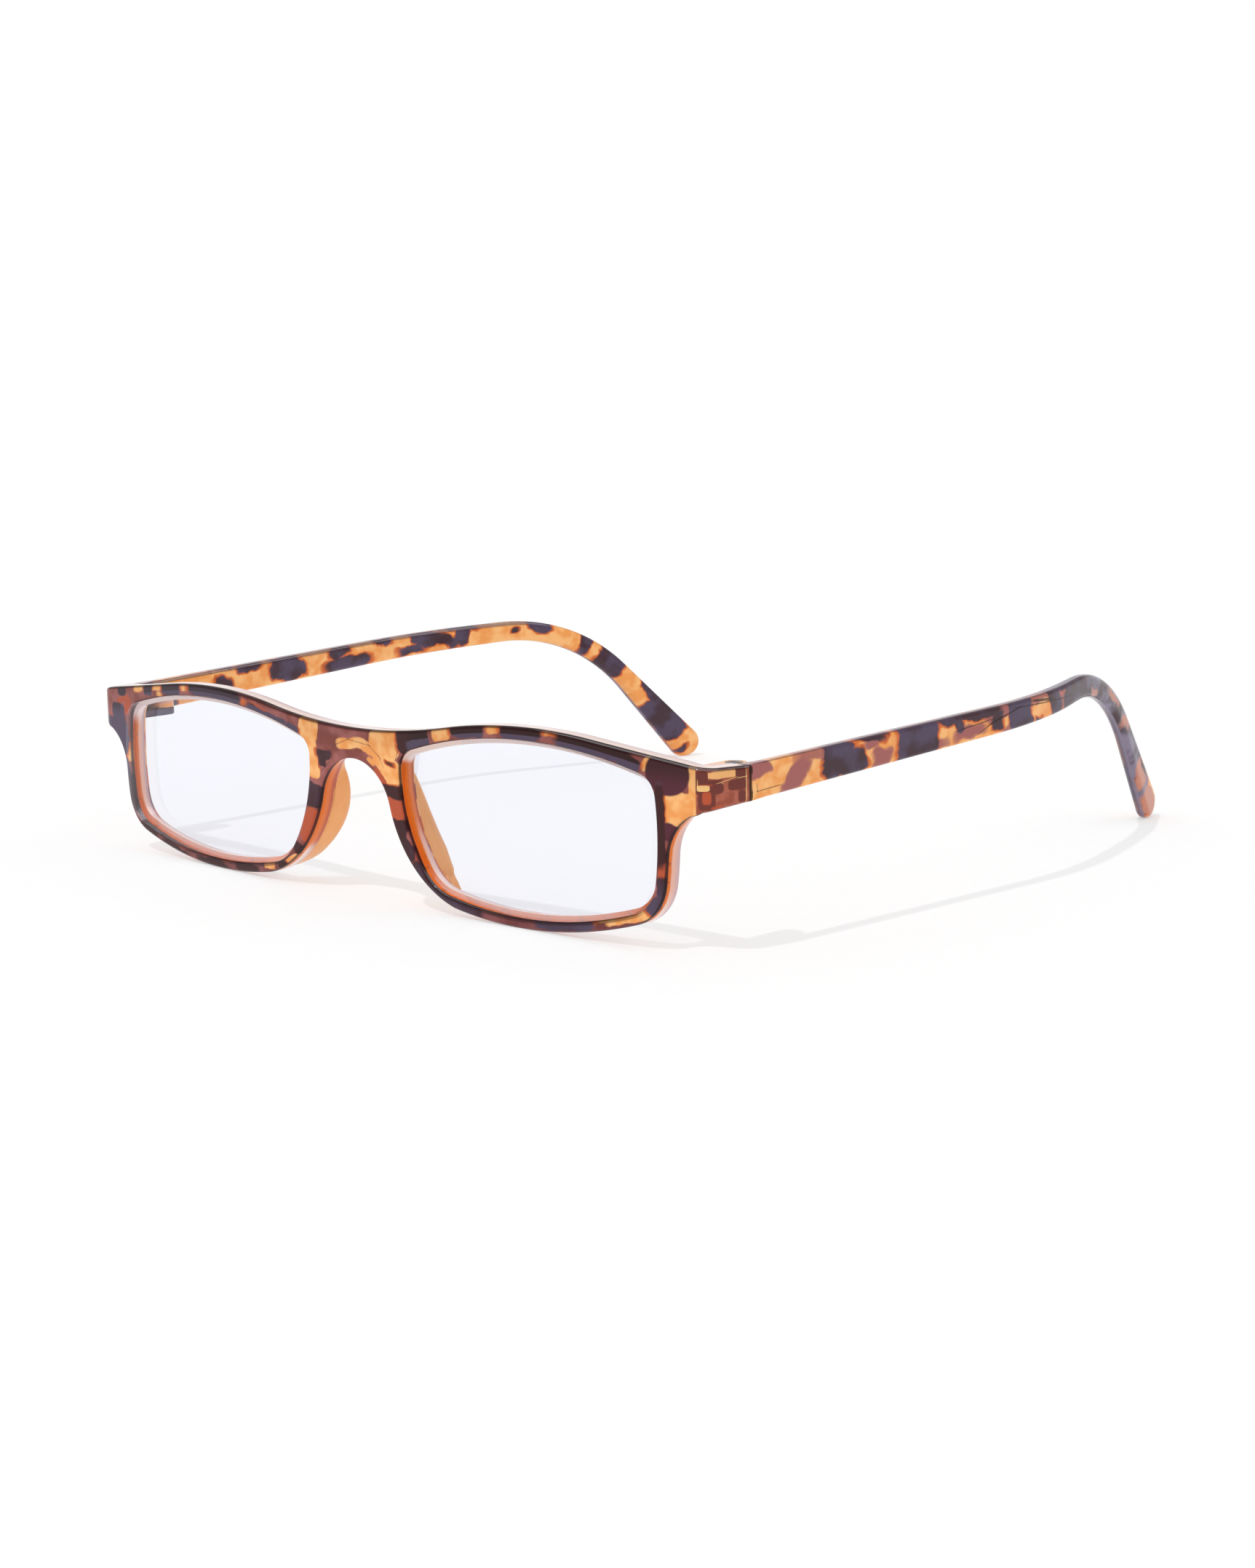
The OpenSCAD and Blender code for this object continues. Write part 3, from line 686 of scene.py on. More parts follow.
class Paint:
    """Short names for building one tree of shader nodes."""

    def __init__(self, name, tree=None):
        self.mat = None
        if tree is None:
            self.mat = bpy.data.materials.new(name)
            self.mat.use_nodes = True
            tree = self.mat.node_tree
        self.tree = tree
        self.tree.nodes.clear()

    def node(self, kind, **values):
        n = self.tree.nodes.new(kind)
        for key, value in values.items():
            setattr(n, key, value)
        return n

    def link(self, a, b):
        self.tree.links.new(a, b)

    def feed(self, socket, value):
        """Link a socket, or set its value."""
        if isinstance(value, bpy.types.NodeSocket):
            self.link(value, socket)
        elif value is not None:
            socket.default_value = rgba(value) if socket.type == "RGBA" else value

    def shade(self, kind, **values):
        """Shader node with its inputs linked or set, an underscore for each space in a name."""
        n = self.node(kind)
        for key, value in values.items():
            self.feed(n.inputs[key.replace("_", " ")], value)
        return n.outputs[0]

    def math(self, operation, a, b=None, c=None, clamp=False):
        n = self.node("ShaderNodeMath", operation=operation, use_clamp=clamp)
        for socket, value in zip(n.inputs, (a, b, c)):
            self.feed(socket, value)
        return n.outputs[0]

    def times(self, a, b):
        return self.math("MULTIPLY", a, b)

    def scaled(self, value, factor, base):
        """A factor times the value, plus a base."""
        return self.math("MULTIPLY_ADD", value, factor, base)

    def vector(self, operation, a, b=None, c=None):
        n = self.node("ShaderNodeVectorMath", operation=operation)
        for socket, value in zip(n.inputs, (a, b, c)):
            self.feed(socket, value)
        return n.outputs["Value" if operation == "DOT_PRODUCT" else "Vector"]

    def split(self, vector):
        """X, Y and Z of a vector."""
        n = self.node("ShaderNodeSeparateXYZ")
        self.link(vector, n.inputs[0])
        return n.outputs[0], n.outputs[1], n.outputs[2]

    def ramp(self, value, low, high):
        """0 below low, 1 above high, smooth between them."""
        n = self.node("ShaderNodeMapRange", interpolation_type="SMOOTHSTEP")
        self.feed(n.inputs["Value"], value)
        n.inputs["From Min"].default_value = low
        n.inputs["From Max"].default_value = high
        return n.outputs["Result"]

    def fall(self, value, low, high):
        """1 below low, 0 above high, smooth between them."""
        return self.math("SUBTRACT", 1.0, self.ramp(value, low, high))

    def band(self, value, middle, half, fade):
        """1 within half of the middle value, 0 further away than fade."""
        return self.fall(self.math("ABSOLUTE", self.math("SUBTRACT", value, middle)), half, fade)

    def mix(self, factor, a, b):
        n = self.node("ShaderNodeMix", data_type="RGBA")
        self.feed(n.inputs["Factor"], factor)
        self.feed(n.inputs["A"], a)
        self.feed(n.inputs["B"], b)
        return n.outputs["Result"]

    def mix_shader(self, factor, a, b):
        n = self.node("ShaderNodeMixShader")
        for socket, value in zip(n.inputs, (factor, a, b)):
            self.feed(socket, value)
        return n.outputs[0]

    def noise(self, coords, scale, detail=2.0, output="Fac"):
        n = self.node("ShaderNodeTexNoise")
        self.link(coords, n.inputs["Vector"])
        n.inputs["Scale"].default_value = scale
        n.inputs["Detail"].default_value = detail
        return n.outputs[output]

    def bump(self, height, strength, distance):
        return self.shade("ShaderNodeBump", Height=height, Strength=strength, Distance=distance)

    def uv(self, name):
        return self.node("ShaderNodeUVMap", uv_map=name).outputs["UV"]

    def place(self):
        return self.node("ShaderNodeTexCoord").outputs["Object"]

    def spread(self, coords, spots, square=True):
        """Distance in millimetres outside a group of patches, less than 0 inside them.

        spots holds (u, v, half width, half height, turn in degrees) of rounded rectangles, or of
        ellipses where square is False. Each comes from two products with the place (u, v, 1).
        """
        tree = bpy.data.node_groups.new("patches", "ShaderNodeTree")
        tree.interface.new_socket("Place", in_out="INPUT", socket_type="NodeSocketVector")
        tree.interface.new_socket("Distance", in_out="OUTPUT", socket_type="NodeSocketFloat")
        p = Paint("patches", tree)
        place = p.node("NodeGroupInput").outputs[0]
        place = p.vector("MULTIPLY_ADD", place, (1, 1, 0), (0, 0, 1))
        total = None
        for u, v, ru, rv, turn in spots:
            c, s = math.cos(math.radians(turn)), math.sin(math.radians(turn))
            power = 4 if square else 2
            reach = min(ru, rv) / power
            grow = reach ** (1 / power)
            sides = []
            for size, x, y in ((ru, c, s), (rv, -s, c)):
                weights = tuple(grow / size * w for w in (x, y, -x * u - y * v))
                side = p.vector("DOT_PRODUCT", place, weights)
                sides.append(p.times(side, side) if square else side)
            a, b = sides
            d = p.scaled(b, b, p.scaled(a, a, -reach))
            total = d if total is None else p.math("SMOOTH_MIN", total, d, 0.3)
        p.link(total, p.node("NodeGroupOutput").inputs[0])
        group = self.node("ShaderNodeGroup", node_tree=tree)
        self.link(coords, group.inputs[0])
        return group.outputs[0]

    def patches(self, coords, spots, soft=0.12, square=True):
        """1 inside a group of patches, 0 outside."""
        return self.fall(self.spread(coords, spots, square), -soft, soft)

    def finish(self, shader, kind="ShaderNodeOutputMaterial"):
        """Connect a shader to the output and give back the material."""
        self.link(shader, self.node(kind).inputs["Surface"])
        return self.mat


# Print of the front on its developed sheet: (u, v, half width, half height, turn).
FRONT_AMBER = (
    (-55.2, 26.2, 1.4, 0.7, 8), (-49.4, 26.6, 1.3, 0.5, 6), (-48.8, 25.6, 0.9, 0.4, 0),
    (-41.5, 27.4, 1.4, 0.4, 0), (-25.6, 26.4, 0.9, 0.4, -8), (-58.5, 15.8, 1.2, 1.7, 10),
    (-10.0, 23.8, 2.3, 1.9, -6), (-9.1, 20.6, 1.2, 2.6, 8), (-8.9, 17.6, 1.3, 1.0, 0),
    (-0.6, 22.7, 2.8, 0.8, 6), (3.6, 22.5, 2.4, 0.9, -16), (7.2, 23.4, 3.2, 2.3, 0),
    (7.4, 20.6, 2.9, 1.8, -36), (8.9, 18.8, 1.2, 1.5, 0), (4.2, 20.6, 0.9, 0.4, -34),
    (19.3, 26.1, 1.9, 1.2, 10), (29.5, 27.8, 1.5, 0.8, 3), (40.0, 27.9, 2.0, 0.6, -2),
    (57.3, 25.4, 1.4, 0.7, 44), (62.4, 19.8, 3.2, 2.1, 0), (64.9, 22.6, 0.8, 3.8, 0),
    (61.4, 17.6, 1.4, 1.3, 40), (53.6, 4.2, 4.2, 1.0, 16), (48.6, 2.9, 1.6, 0.4, 12),
    (-14.8, 3.4, 2.0, 1.0, 24), (-20.8, 2.2, 1.4, 0.6, 6),
)
FRONT_RED = (
    (-9.2, 18.8, 1.8, 1.5, 0), (-10.4, 9.4, 1.6, 3.0, -26), (7.2, 18.3, 2.6, 0.9, -20),
    (9.1, 14.2, 2.2, 1.5, -10), (12.2, 7.4, 1.0, 1.6, 30), (-61.0, 14.4, 0.9, 2.2, 28),
    (60.0, 10.6, 1.0, 2.6, 0), (-60.4, 24.0, 1.8, 0.5, 20), (-58.8, 23.0, 0.9, 1.6, -30),
    (-38, 2.2, 8.0, 0.7, -3), (32, 2.5, 6.0, 0.4, 2), (-22, 26.0, 2.2, 0.4, -10),
)
FRONT_DARK = (
    (-65.0, 19.4, 1.8, 1.4, 0), (-61.7, 20.4, 1.9, 2.9, 0), (-60.6, 17.6, 1.7, 2.6, 0),
    (-59.8, 11.4, 1.2, 3.2, 12), (-57.8, 7.6, 1.0, 2.0, 34), (-53.8, 3.6, 0.9, 2.6, 62),
    (-46.4, 1.5, 3.8, 0.6, -12), (-36, 0.6, 4.4, 0.6, -3), (-26.5, 1.0, 3.0, 0.8, 0),
    (-60.4, 25.5, 1.4, 0.9, 4), (-52.2, 26.4, 1.2, 1.2, 0), (-45.6, 27.0, 2.6, 1.2, 4),
    (-36, 27.6, 4.4, 1.1, -1), (-30.5, 27.1, 4.0, 1.0, -5), (-20.0, 25.0, 5.2, 0.7, -11),
    (-13.8, 23.2, 1.6, 1.2, -20), (-6.4, 20.6, 1.7, 0.7, 0), (-6.8, 19.5, 0.8, 0.9, 0),
    (-9.4, 14.2, 2.4, 1.9, -8), (-13.2, 5.4, 1.4, 1.0, -35), (-17.4, 2.6, 1.1, 0.9, 0),
    (8.4, 20.7, 0.9, 0.28, -14), (8.6, 16.6, 2.5, 0.9, -8), (9.7, 11.2, 2.0, 1.6, -14),
    (11.0, 8.6, 1.5, 2.4, 30), (14.2, 4.6, 1.7, 2.6, 48), (21.4, 2.1, 5.4, 1.0, -12),
    (13.4, 24.4, 3.4, 2.2, 6), (24.4, 27.2, 3.4, 1.4, 4), (34.8, 27.6, 3.8, 1.2, 0),
    (48.0, 26.6, 6.8, 1.2, -6), (54.0, 25.0, 2.0, 1.0, -14), (59.3, 17.0, 0.9, 5.6, 0),
    (59.7, 7.6, 1.0, 2.6, 0), (58.2, 6.2, 1.5, 0.9, 45), (42.0, 1.7, 5.4, 1.0, 5),
)
FRONT_PLUM = ((60.7, 24.2, 3.7, 3.0, 0), (59.0, 23.4, 1.6, 1.8, 20), (61.2, 16.2, 1.9, 1.3, -30))
# Flank of an end piece, where the hinge shows through, by distance behind the face and height.
FLANK_AMBER = ((6.9, 24.3, 2.1, 0.5, -2), (5.0, 24.2, 1.2, 0.35, -8), (6.1, 22.9, 0.5, 0.25, 0))
FLANK_DARK = (
    (3.5, 24.2, 0.9, 0.7, 0), (4.5, 23.45, 2.0, 0.22, 0), (4.6, 22.5, 2.1, 0.75, 0),
    (4.2, 20.9, 1.2, 1.25, 0), (9.5, 24.2, 0.9, 0.85, 0), (8.9, 22.7, 1.5, 0.7, 0),
    (9.6, 21.1, 0.6, 0.8, 0),
)
FLANK_RED = ((4.2, 21.3, 0.6, 0.85, 0), (4.0, 23.0, 0.9, 0.12, 0), (5.6, 20.0, 0.8, 0.2, 6))
FLANK_GLINT = (
    (3.75, 22.6, 0.85, 0.4, 0), (7.2, 23.45, 1.5, 0.05, 10), (9.6, 23.6, 0.7, 0.05, 4),
    (10.35, 22.3, 0.06, 2.4, 0), (3.0, 23.2, 0.05, 0.5, 0),
)
# Prints of the temples: outer and inner face, from the hinge backwards.
TEMPLE_OUT_RED = (
    (13.0, 24.2, 1.9, 1.4, 0), (19.6, 22.2, 3.6, 1.3, 42), (23.4, 25.0, 3.8, 0.6, 4),
    (26.8, 24.9, 2.2, 1.0, 0), (37.2, 22.8, 2.3, 1.3, 0), (34.8, 25.0, 1.6, 1.0, 0),
    (48.4, 22.9, 2.4, 0.7, 8), (55.6, 24.0, 3.6, 1.0, 4), (62.6, 25.8, 3.2, 0.9, 4),
    (73, 27.0, 3.4, 0.7, 0), (80.2, 25.4, 0.9, 1.1, 0), (84.6, 25.8, 1.0, 0.9, 0),
    (64.5, 23.2, 1.4, 0.7, 0),
)
TEMPLE_OUT_DARK = (
    (28.6, 23.4, 3.4, 2.6, 0), (32.0, 22.4, 2.0, 1.9, 30), (34.8, 26.0, 2.6, 0.8, -6),
    (44.6, 24.2, 4.4, 3.2, 10), (41.0, 26.8, 6.0, 0.8, 2), (55.8, 26.8, 7.4, 1.2, 2),
    (53.4, 25.2, 0.9, 1.6, 20), (62.0, 24.9, 1.5, 1.2, 0), (67.8, 25.0, 2.9, 3.4, 12),
    (72.6, 23.9, 0.9, 0.7, 0), (77.8, 25.4, 1.8, 3.6, 16), (85, 27.6, 8.0, 0.9, 2),
    (89, 25.0, 8.4, 2.0, 0), (99, 26.0, 8.0, 3.8, -10), (106, 21.8, 6.0, 4.6, -40),
    (111.4, 15.0, 6.0, 4.6, -50), (116.0, 7.6, 5.6, 4.0, -56), (119.6, 2.2, 2.2, 1.8, -60),
)
TEMPLE_OUT_AMBER = (
    (94.6, 25.0, 1.6, 0.5, -6), (103.6, 22.8, 2.8, 0.6, -30), (109.6, 18.0, 2.0, 0.8, -8),
    (117.6, 8.4, 3.0, 1.5, -52), (122.6, 2.8, 3.6, 1.9, -38), (28.6, 20.7, 0.9, 0.7, 0),
)
TEMPLE_IN_DARK = (
    (12.2, 20.7, 2.8, 1.4, 0), (16.6, 21.0, 1.2, 0.6, 0), (13, 25.6, 3.6, 0.6, 4),
    (27.4, 23.4, 1.8, 0.9, -16), (28.0, 26.0, 2.4, 0.5, 0), (33.4, 25.7, 2.4, 1.2, 10),
    (41.0, 25.0, 3.4, 2.1, 14), (43.0, 23.8, 2.8, 1.6, 0), (53.2, 25.9, 2.2, 1.2, 20),
    (55.0, 23.4, 5.2, 1.4, 6), (63.4, 27.2, 2.4, 1.4, -8), (72.0, 27.4, 2.4, 1.4, 0),
    (74.0, 26.0, 3.6, 1.1, -14), (69.6, 24.7, 2.8, 0.8, 10), (77.6, 25.0, 1.4, 0.8, -30),
    (80.0, 28.2, 2.9, 1.3, 0), (80.0, 26.0, 1.2, 1.9, -24), (90.0, 26.0, 0.75, 0.7, 0),
    (94.9, 27.4, 2.3, 1.6, -10), (91.6, 28.8, 0.6, 0.5, 0), (104.4, 24.2, 1.3, 3.6, -32),
    (109.2, 20.4, 3.0, 4.0, -40), (111.2, 19.6, 1.4, 1.2, -50), (116.6, 13.6, 1.9, 2.2, 26),
    (117.9, 9.1, 3.6, 3.4, 34), (119.9, 6.0, 2.8, 2.4, 32), (122.4, 1.5, 1.1, 0.6, 14),
)
# Flow lines in the moulding: long thin marks.
FRONT_LINES = (
    (-2.2, 22.8, 1.9, 0.06, 20), (1.6, 23.1, 2.0, 0.06, -6), (4.9, 22.2, 1.7, 0.06, -34),
    (6.4, 20.9, 1.0, 0.05, -60), (-6.0, 18.9, 1.3, 0.07, 38), (9.9, 22.0, 0.07, 1.2, -24),
    (10.6, 19.6, 0.08, 1.8, 12),
)
TEMPLE_LINES = (
    (12.3, 21.8, 0.06, 0.6, 10), (14.6, 21.5, 2.2, 0.07, 4), (11.35, 24.3, 0.13, 0.5, 0),
    (11.35, 21.1, 0.1, 0.6, 0), (57.0, 24.9, 4.0, 0.09, 6), (63.6, 25.4, 3.9, 0.12, 13),
    (76, 26.0, 9.6, 0.1, -1.5), (73.6, 26.5, 3.0, 0.2, -4), (60.0, 24.4, 2.6, 0.07, 20),
)

# Where the looks of the front change: heights, distances from the middle, and depths.
LOW_RIM = (3.0, 9.0)
LOW_HALF = (4.0, 18.0)
BROW_HEIGHT = (21.0, 23.5)
BROW_SIDE = (11.0, 14.0)
BROW_UNDER = (0.36, 0.56)
PLUM_HEIGHT = (22.4, 25.4)
HINGE_SIDE = (U_FACE + 0.9, U_FACE + 1.1)
HIGH_WALL = (19.5, 22.0)
NOSE_SIDE = (11.5, 13.5)
NOSE_HEIGHT = (20.6, 21.4)
LINE_HEIGHT = (21.0, 24.0)
GLOW_END = (1.15, 1.45)
EDGE_TURN = (1.5, 3.0)
NOSE_TURN = (1.6, 2.6)
PRINT_END = (0.62, 0.85)
REAR_PRINT = (DEPTH - 0.5, DEPTH - 0.25)
# Reach of the painted shade on the end face at the hinge gap.
FRONT_GAP_SHADE = (U_END - 0.42, U_END - 0.12)

# Where the looks of a temple change: distances behind the front, and depths.
LATE = (60.0, 84.0)
# Stretch where the dark print lightens as a painted highlight over the ear bend.
BEND_HIGHLIGHT = (84.0, 104.0)
OTHER_FACE = (1.2, 1.9)
# Reach of the painted shade on the temple's front end at the hinge gap.
TEMPLE_GAP_SHADE = (T_FRONT + 0.1, T_FRONT + 0.36)


def organic(p, coords, broad=1.0, fine=0.4):
    """Sheet coordinates with a broad and a fine wobble, so that patch edges look poured."""
    for amount, scale in ((broad, 0.3), (fine, 1.0)):
        shift = p.vector("SUBTRACT", p.noise(coords, scale, 1.5, "Color"), (0.5, 0.5, 0.5))
        coords = p.vector("ADD", coords, p.vector("MULTIPLY", shift, (amount, amount, 0)))
    return coords


def plastic(p, colour):
    """Glossy moulded plastic with faint mould texture and handling wear."""
    place = p.place()
    rough = p.scaled(p.noise(place, 90.0, 3.0), 0.08, 0.05)
    texture = p.bump(p.noise(place, 700.0), 0.05, 0.0001)
    return p.shade(
        "ShaderNodeBsdfPrincipled", Base_Color=colour, Roughness=rough, Normal=texture,
        IOR=1.5, Specular_IOR_Level=0.22,
    )


def two_tone(p, coords, scale, a, b):
    """Slow change between two tones of one colour."""
    return p.mix(p.ramp(p.noise(coords, scale), 0.38, 0.62), a, b)


def behind_edge(p, distance, inner, border, width):
    """Colour that deepens towards the edge of a neighbouring patch."""
    return p.mix(p.ramp(distance, 0.1, width), border, inner)


def flank_colour(p, look, sheet, side, v):
    """The hinge seen through the plastic of a flank."""
    join = p.node("ShaderNodeCombineXYZ")
    p.link(p.math("SUBTRACT", side, U_TURN - TURN_END[1]), join.inputs["X"])
    p.link(v, join.inputs["Y"])
    colour = two_tone(p, sheet, 0.6, look.flank_deep, look.flank)
    for spots, soft, ink in (
        (FLANK_AMBER, 0.06, look.amber), (FLANK_DARK, 0.04, look.flank_dark),
        (FLANK_RED, 0.08, look.red), (FLANK_GLINT, 0.03, look.glint),
    ):
        colour = p.mix(p.patches(join.outputs[0], spots, soft), colour, ink)
    return colour


def front_material(look):
    """Tortoise print on the face and back of the front, clear plastic along its edges, with painted
    reflection on the brow, painted light on some walls and painted shade at the hinge gaps.
    """
    p = Paint("tortoise_front")
    sheet = p.uv("sheet")
    coords = organic(p, sheet)
    u, v, _ = p.split(sheet)
    n, outline, _ = p.split(p.uv("wall"))
    side = p.math("ABSOLUTE", u)
    low = p.fall(v, *LOW_RIM)
    inside = p.math("SUBTRACT", 1.0, outline)
    dark_at = p.spread(coords, FRONT_DARK)
    plain = two_tone(p, sheet, 0.35, look.amber_deep, look.amber)
    amber = behind_edge(p, dark_at, plain, look.amber_shade, 0.55)
    brown = two_tone(p, sheet, 0.2, look.brown_deep, look.brown)
    brown = p.mix(p.times(low, 0.45), brown, look.plum)
    # The print turns from blue on the left to warm brown on the right; towards the left the slate is
    # partly a painted reflection.
    blue = p.scaled(u, -0.02, p.noise(sheet, 0.25, 1.0))
    # The lower rims turn the other way, and the lower half of the brow gets slate as a painted
    # reflection.
    blue = p.scaled(p.times(p.fall(v, *LOW_HALF), 0.032), u, blue)
    brow = p.times(p.ramp(v, *BROW_HEIGHT), p.ramp(side, *BROW_SIDE))
    blue = p.scaled(p.times(brow, p.ramp(inside, *BROW_UNDER)), 2.0, blue)
    dark = p.mix(p.ramp(blue, 0.35, 1.3), look.dark, look.slate)
    over_brow = p.times(brow, p.fall(inside, *BROW_UNDER))
    dark = p.mix(p.times(over_brow, 0.7), dark, look.line)
    face = p.mix(p.patches(coords, FRONT_RED), brown, look.red)
    face = p.mix(p.patches(coords, FRONT_AMBER), face, amber)
    plum = p.mix(p.ramp(v, *PLUM_HEIGHT), look.plum, look.dark)
    face = p.mix(p.patches(sheet, FRONT_PLUM, 0.16, False), face, plum)
    face = p.mix(p.fall(dark_at, -0.12, 0.12), face, dark)
    face = p.mix(p.times(p.patches(sheet, FRONT_LINES, 0.04), 0.7), face, look.line)
    # The right flank shows the hinge through the plastic.
    flank = flank_colour(p, look, sheet, side, v)
    right = p.ramp(u, 0.0, 1.0)
    face = p.mix(p.times(p.ramp(side, *HINGE_SIDE), right), face, flank)
    # Walls: dark line along the print, gathered light, then plain plastic.
    # On the sill of a lower rim the print and the light end nearer to the face.
    wobble = p.noise(sheet, 0.8)
    sill = p.times(low, inside)
    waver = p.scaled(sill, -0.26, 0.3)
    depth = p.scaled(p.math("SUBTRACT", wobble, 0.5), waver, n)
    depth = p.scaled(sill, 0.21, depth)
    n_print = p.scaled(sill, 0.25, n)
    glow = p.mix(p.ramp(wobble, 0.52, 0.8), look.glow, look.glow_deep)
    # Painted light: the walls under the brow and on the lower sills take a paler, lit tone of the
    # clear edge.
    high = p.ramp(v, *HIGH_WALL)
    pale = p.mix(p.math("MAXIMUM", high, low), look.edge, look.edge_lit)
    clear = p.mix(p.ramp(depth, *EDGE_TURN), pale, look.edge_deep)
    walls = p.mix(p.math("MAXIMUM", high, p.ramp(depth, *GLOW_END)), glow, clear)
    nose = p.times(p.fall(side, *NOSE_SIDE), p.fall(v, *NOSE_HEIGHT))
    nose_wall = p.mix(p.ramp(depth, *NOSE_TURN), look.glow, look.red)
    walls = p.mix(p.times(nose, 0.9), walls, nose_wall)
    low_line, high_line = p.band(n_print, 0.46, 0.14, 0.36), p.band(n, 0.45, 0.3, 0.5)
    line = p.mix(p.ramp(v, *LINE_HEIGHT), low_line, high_line)
    colour = p.mix(p.ramp(n_print, *PRINT_END), face, walls)
    colour = p.mix(p.times(line, 0.88), colour, look.line)
    rear = p.mix(p.patches(coords, FRONT_DARK[::2]), amber, brown)
    colour = p.mix(p.ramp(n, *REAR_PRINT), colour, rear)
    # Painted shade in the hinge gap: the end face darkens to the edge line.
    colour = p.mix(p.times(p.ramp(side, *FRONT_GAP_SHADE), 0.9), colour, look.line)
    return p.finish(plastic(p, colour))


def temple_material(look):
    """Separate prints on the outer and inner face of a temple, blended along its edges, with a
    painted highlight at the ear bend and painted shade at the hinge gap.
    """
    p = Paint("tortoise_temple")
    sheet = p.uv("sheet")
    coords = organic(p, sheet, 2.6, 0.7)
    y, z, _ = p.split(sheet)
    n = p.split(p.uv("wall"))[0]
    plain = two_tone(p, sheet, 0.35, look.amber_deep, look.amber)
    # Outer face.
    dark_at = p.spread(coords, TEMPLE_OUT_DARK)
    # Painted highlight: over the ear bend the dark print lightens to lavender where light falls on
    # the turning surface.
    pale = p.mix(p.ramp(y, *BEND_HIGHLIGHT), look.slate, look.lavender_sheen)
    dark = two_tone(p, sheet, 0.25, look.dusk, pale)
    outer = behind_edge(p, dark_at, plain, look.amber_shade, 0.7)
    outer = p.mix(p.patches(coords, TEMPLE_OUT_RED, 0.25), outer, look.brown)
    outer = p.mix(p.fall(dark_at, -0.14, 0.14), outer, dark)
    outer = p.mix(p.patches(coords, TEMPLE_OUT_AMBER, 0.3), outer, look.salmon)
    outer = p.mix(p.times(p.patches(sheet, TEMPLE_LINES, 0.04), 0.85), outer, look.line)
    # Inner face.
    dark_at = p.spread(coords, TEMPLE_IN_DARK)
    dark = two_tone(p, sheet, 0.25, look.dusk, look.slate)
    inner = behind_edge(p, dark_at, plain, look.amber_shade, 0.6)
    inner = p.mix(p.fall(dark_at, -0.14, 0.14), inner, dark)
    faces = p.mix(p.ramp(n, *OTHER_FACE), outer, inner)
    # Clear plastic along the middle of the edges, and over most of the depth at the bend.
    late = p.ramp(y, *LATE)
    inward = p.times(late, p.fall(n, 2.2, 2.42))
    middle = p.math("MAXIMUM", p.band(n, 1.3, 0.45, 0.7), p.times(inward, p.ramp(n, 0.6, 0.8)))
    # On the left temple the print reaches over the lower edge of the bend.
    left = p.fall(p.split(p.place())[0], -MM, MM)
    middle = p.times(middle, p.scaled(p.times(left, late), -0.9, 1.0))
    # Along the rear edges the lavender is the same painted sheen.
    edge = p.mix(late, look.edge_deep, p.mix(p.ramp(n, 0.9, 1.6), look.lavender_sheen, look.slate))
    colour = p.mix(p.times(middle, p.scaled(late, 0.45, 0.4)), faces, edge)
    # Dusky lines along both upper edges.
    high = p.ramp(p.scaled(y, -0.05, z), 22.3, 22.7)
    outer_line, inner_line = p.band(n, 0.42, 0.1, 0.3), p.band(n, 2.1, 0.2, 0.4)
    lines = p.math("ADD", p.times(outer_line, 0.6), p.times(inner_line, 0.8))
    colour = p.mix(p.times(lines, high), colour, look.dusk)
    # Painted shade in the hinge gap: the temple's front end darkens to the edge line.
    colour = p.mix(p.times(p.fall(y, *TEMPLE_GAP_SHADE), 0.9), colour, look.line)
    return p.finish(plastic(p, colour))


def pad_material(look):
    """Plain amber plastic of the nose pads, paler at the thin rear edge."""
    p = Paint("pad_amber")
    sheet = p.uv("sheet")
    colour = p.mix(p.noise(sheet, 0.3), look.pad_deep, look.pad)
    rear = p.ramp(p.split(sheet)[0], 5.4, 7.0)
    return p.finish(plastic(p, p.mix(p.times(rear, 0.4), colour, look.edge)))


def knuckle_material(look, word):
    """Plastic of the hinge knuckles: clear on the right, under dark print on the left."""
    p = Paint("knuckle_plastic_" + word)
    smoke = p.ramp(p.noise(p.place(), 420.0), 0.42, 0.58)
    tones = (look.dusk, look.slate) if word == "left" else (look.edge, look.pad)
    return p.finish(plastic(p, p.mix(smoke, *tones)))


def lens_material(look):
    """Clear coated lens: nearly colourless to look through, with a faint sheen."""
    p = Paint("clear_lens")
    clear = p.shade("ShaderNodeBsdfTransparent", Color=look.lens_tint)
    gloss = p.shade(
        "ShaderNodeBsdfPrincipled", Base_Color=look.lens_sheen, Metallic=1.0, Roughness=0.02
    )
    slant = p.node("ShaderNodeLayerWeight")
    slant.inputs["Blend"].default_value = 0.5
    rise = p.math("POWER", slant.outputs["Facing"], 4.0)
    amount = p.scaled(p.noise(p.place(), 60.0), 0.006, 0.012)
    factor = p.math("MULTIPLY_ADD", rise, 0.9, amount, clamp=True)
    return p.finish(p.mix_shader(factor, clear, gloss))


def steel_material(look):
    """Bright turned steel with fine marks."""
    p = Paint("screw_steel")
    marks = p.noise(p.place(), 2600.0, 3.0)
    return p.finish(p.shade(
        "ShaderNodeBsdfPrincipled", Base_Color=p.mix(marks, look.steel_dark, look.steel),
        Metallic=1.0, Roughness=p.scaled(marks, 0.2, 0.22), Normal=p.bump(marks, 0.15, 0.00002),
    ))


def colour_prop(name, description, value):
    """Colour setting written as amounts of light."""
    return FloatVectorProperty(
        name=name, description=description, subtype="COLOR", size=3, min=0, max=1, default=value
    )


def tone(name, description, *screen):
    """Colour setting written as 0 to 255 screen values."""
    return colour_prop(name, description, srgb(*screen))


def length_prop(name, description, default, low, high):
    """Length setting written in millimetres."""
    return FloatProperty(
        name=name, description=description, unit="LENGTH",
        default=default * MM, min=low * MM, max=high * MM,
    )


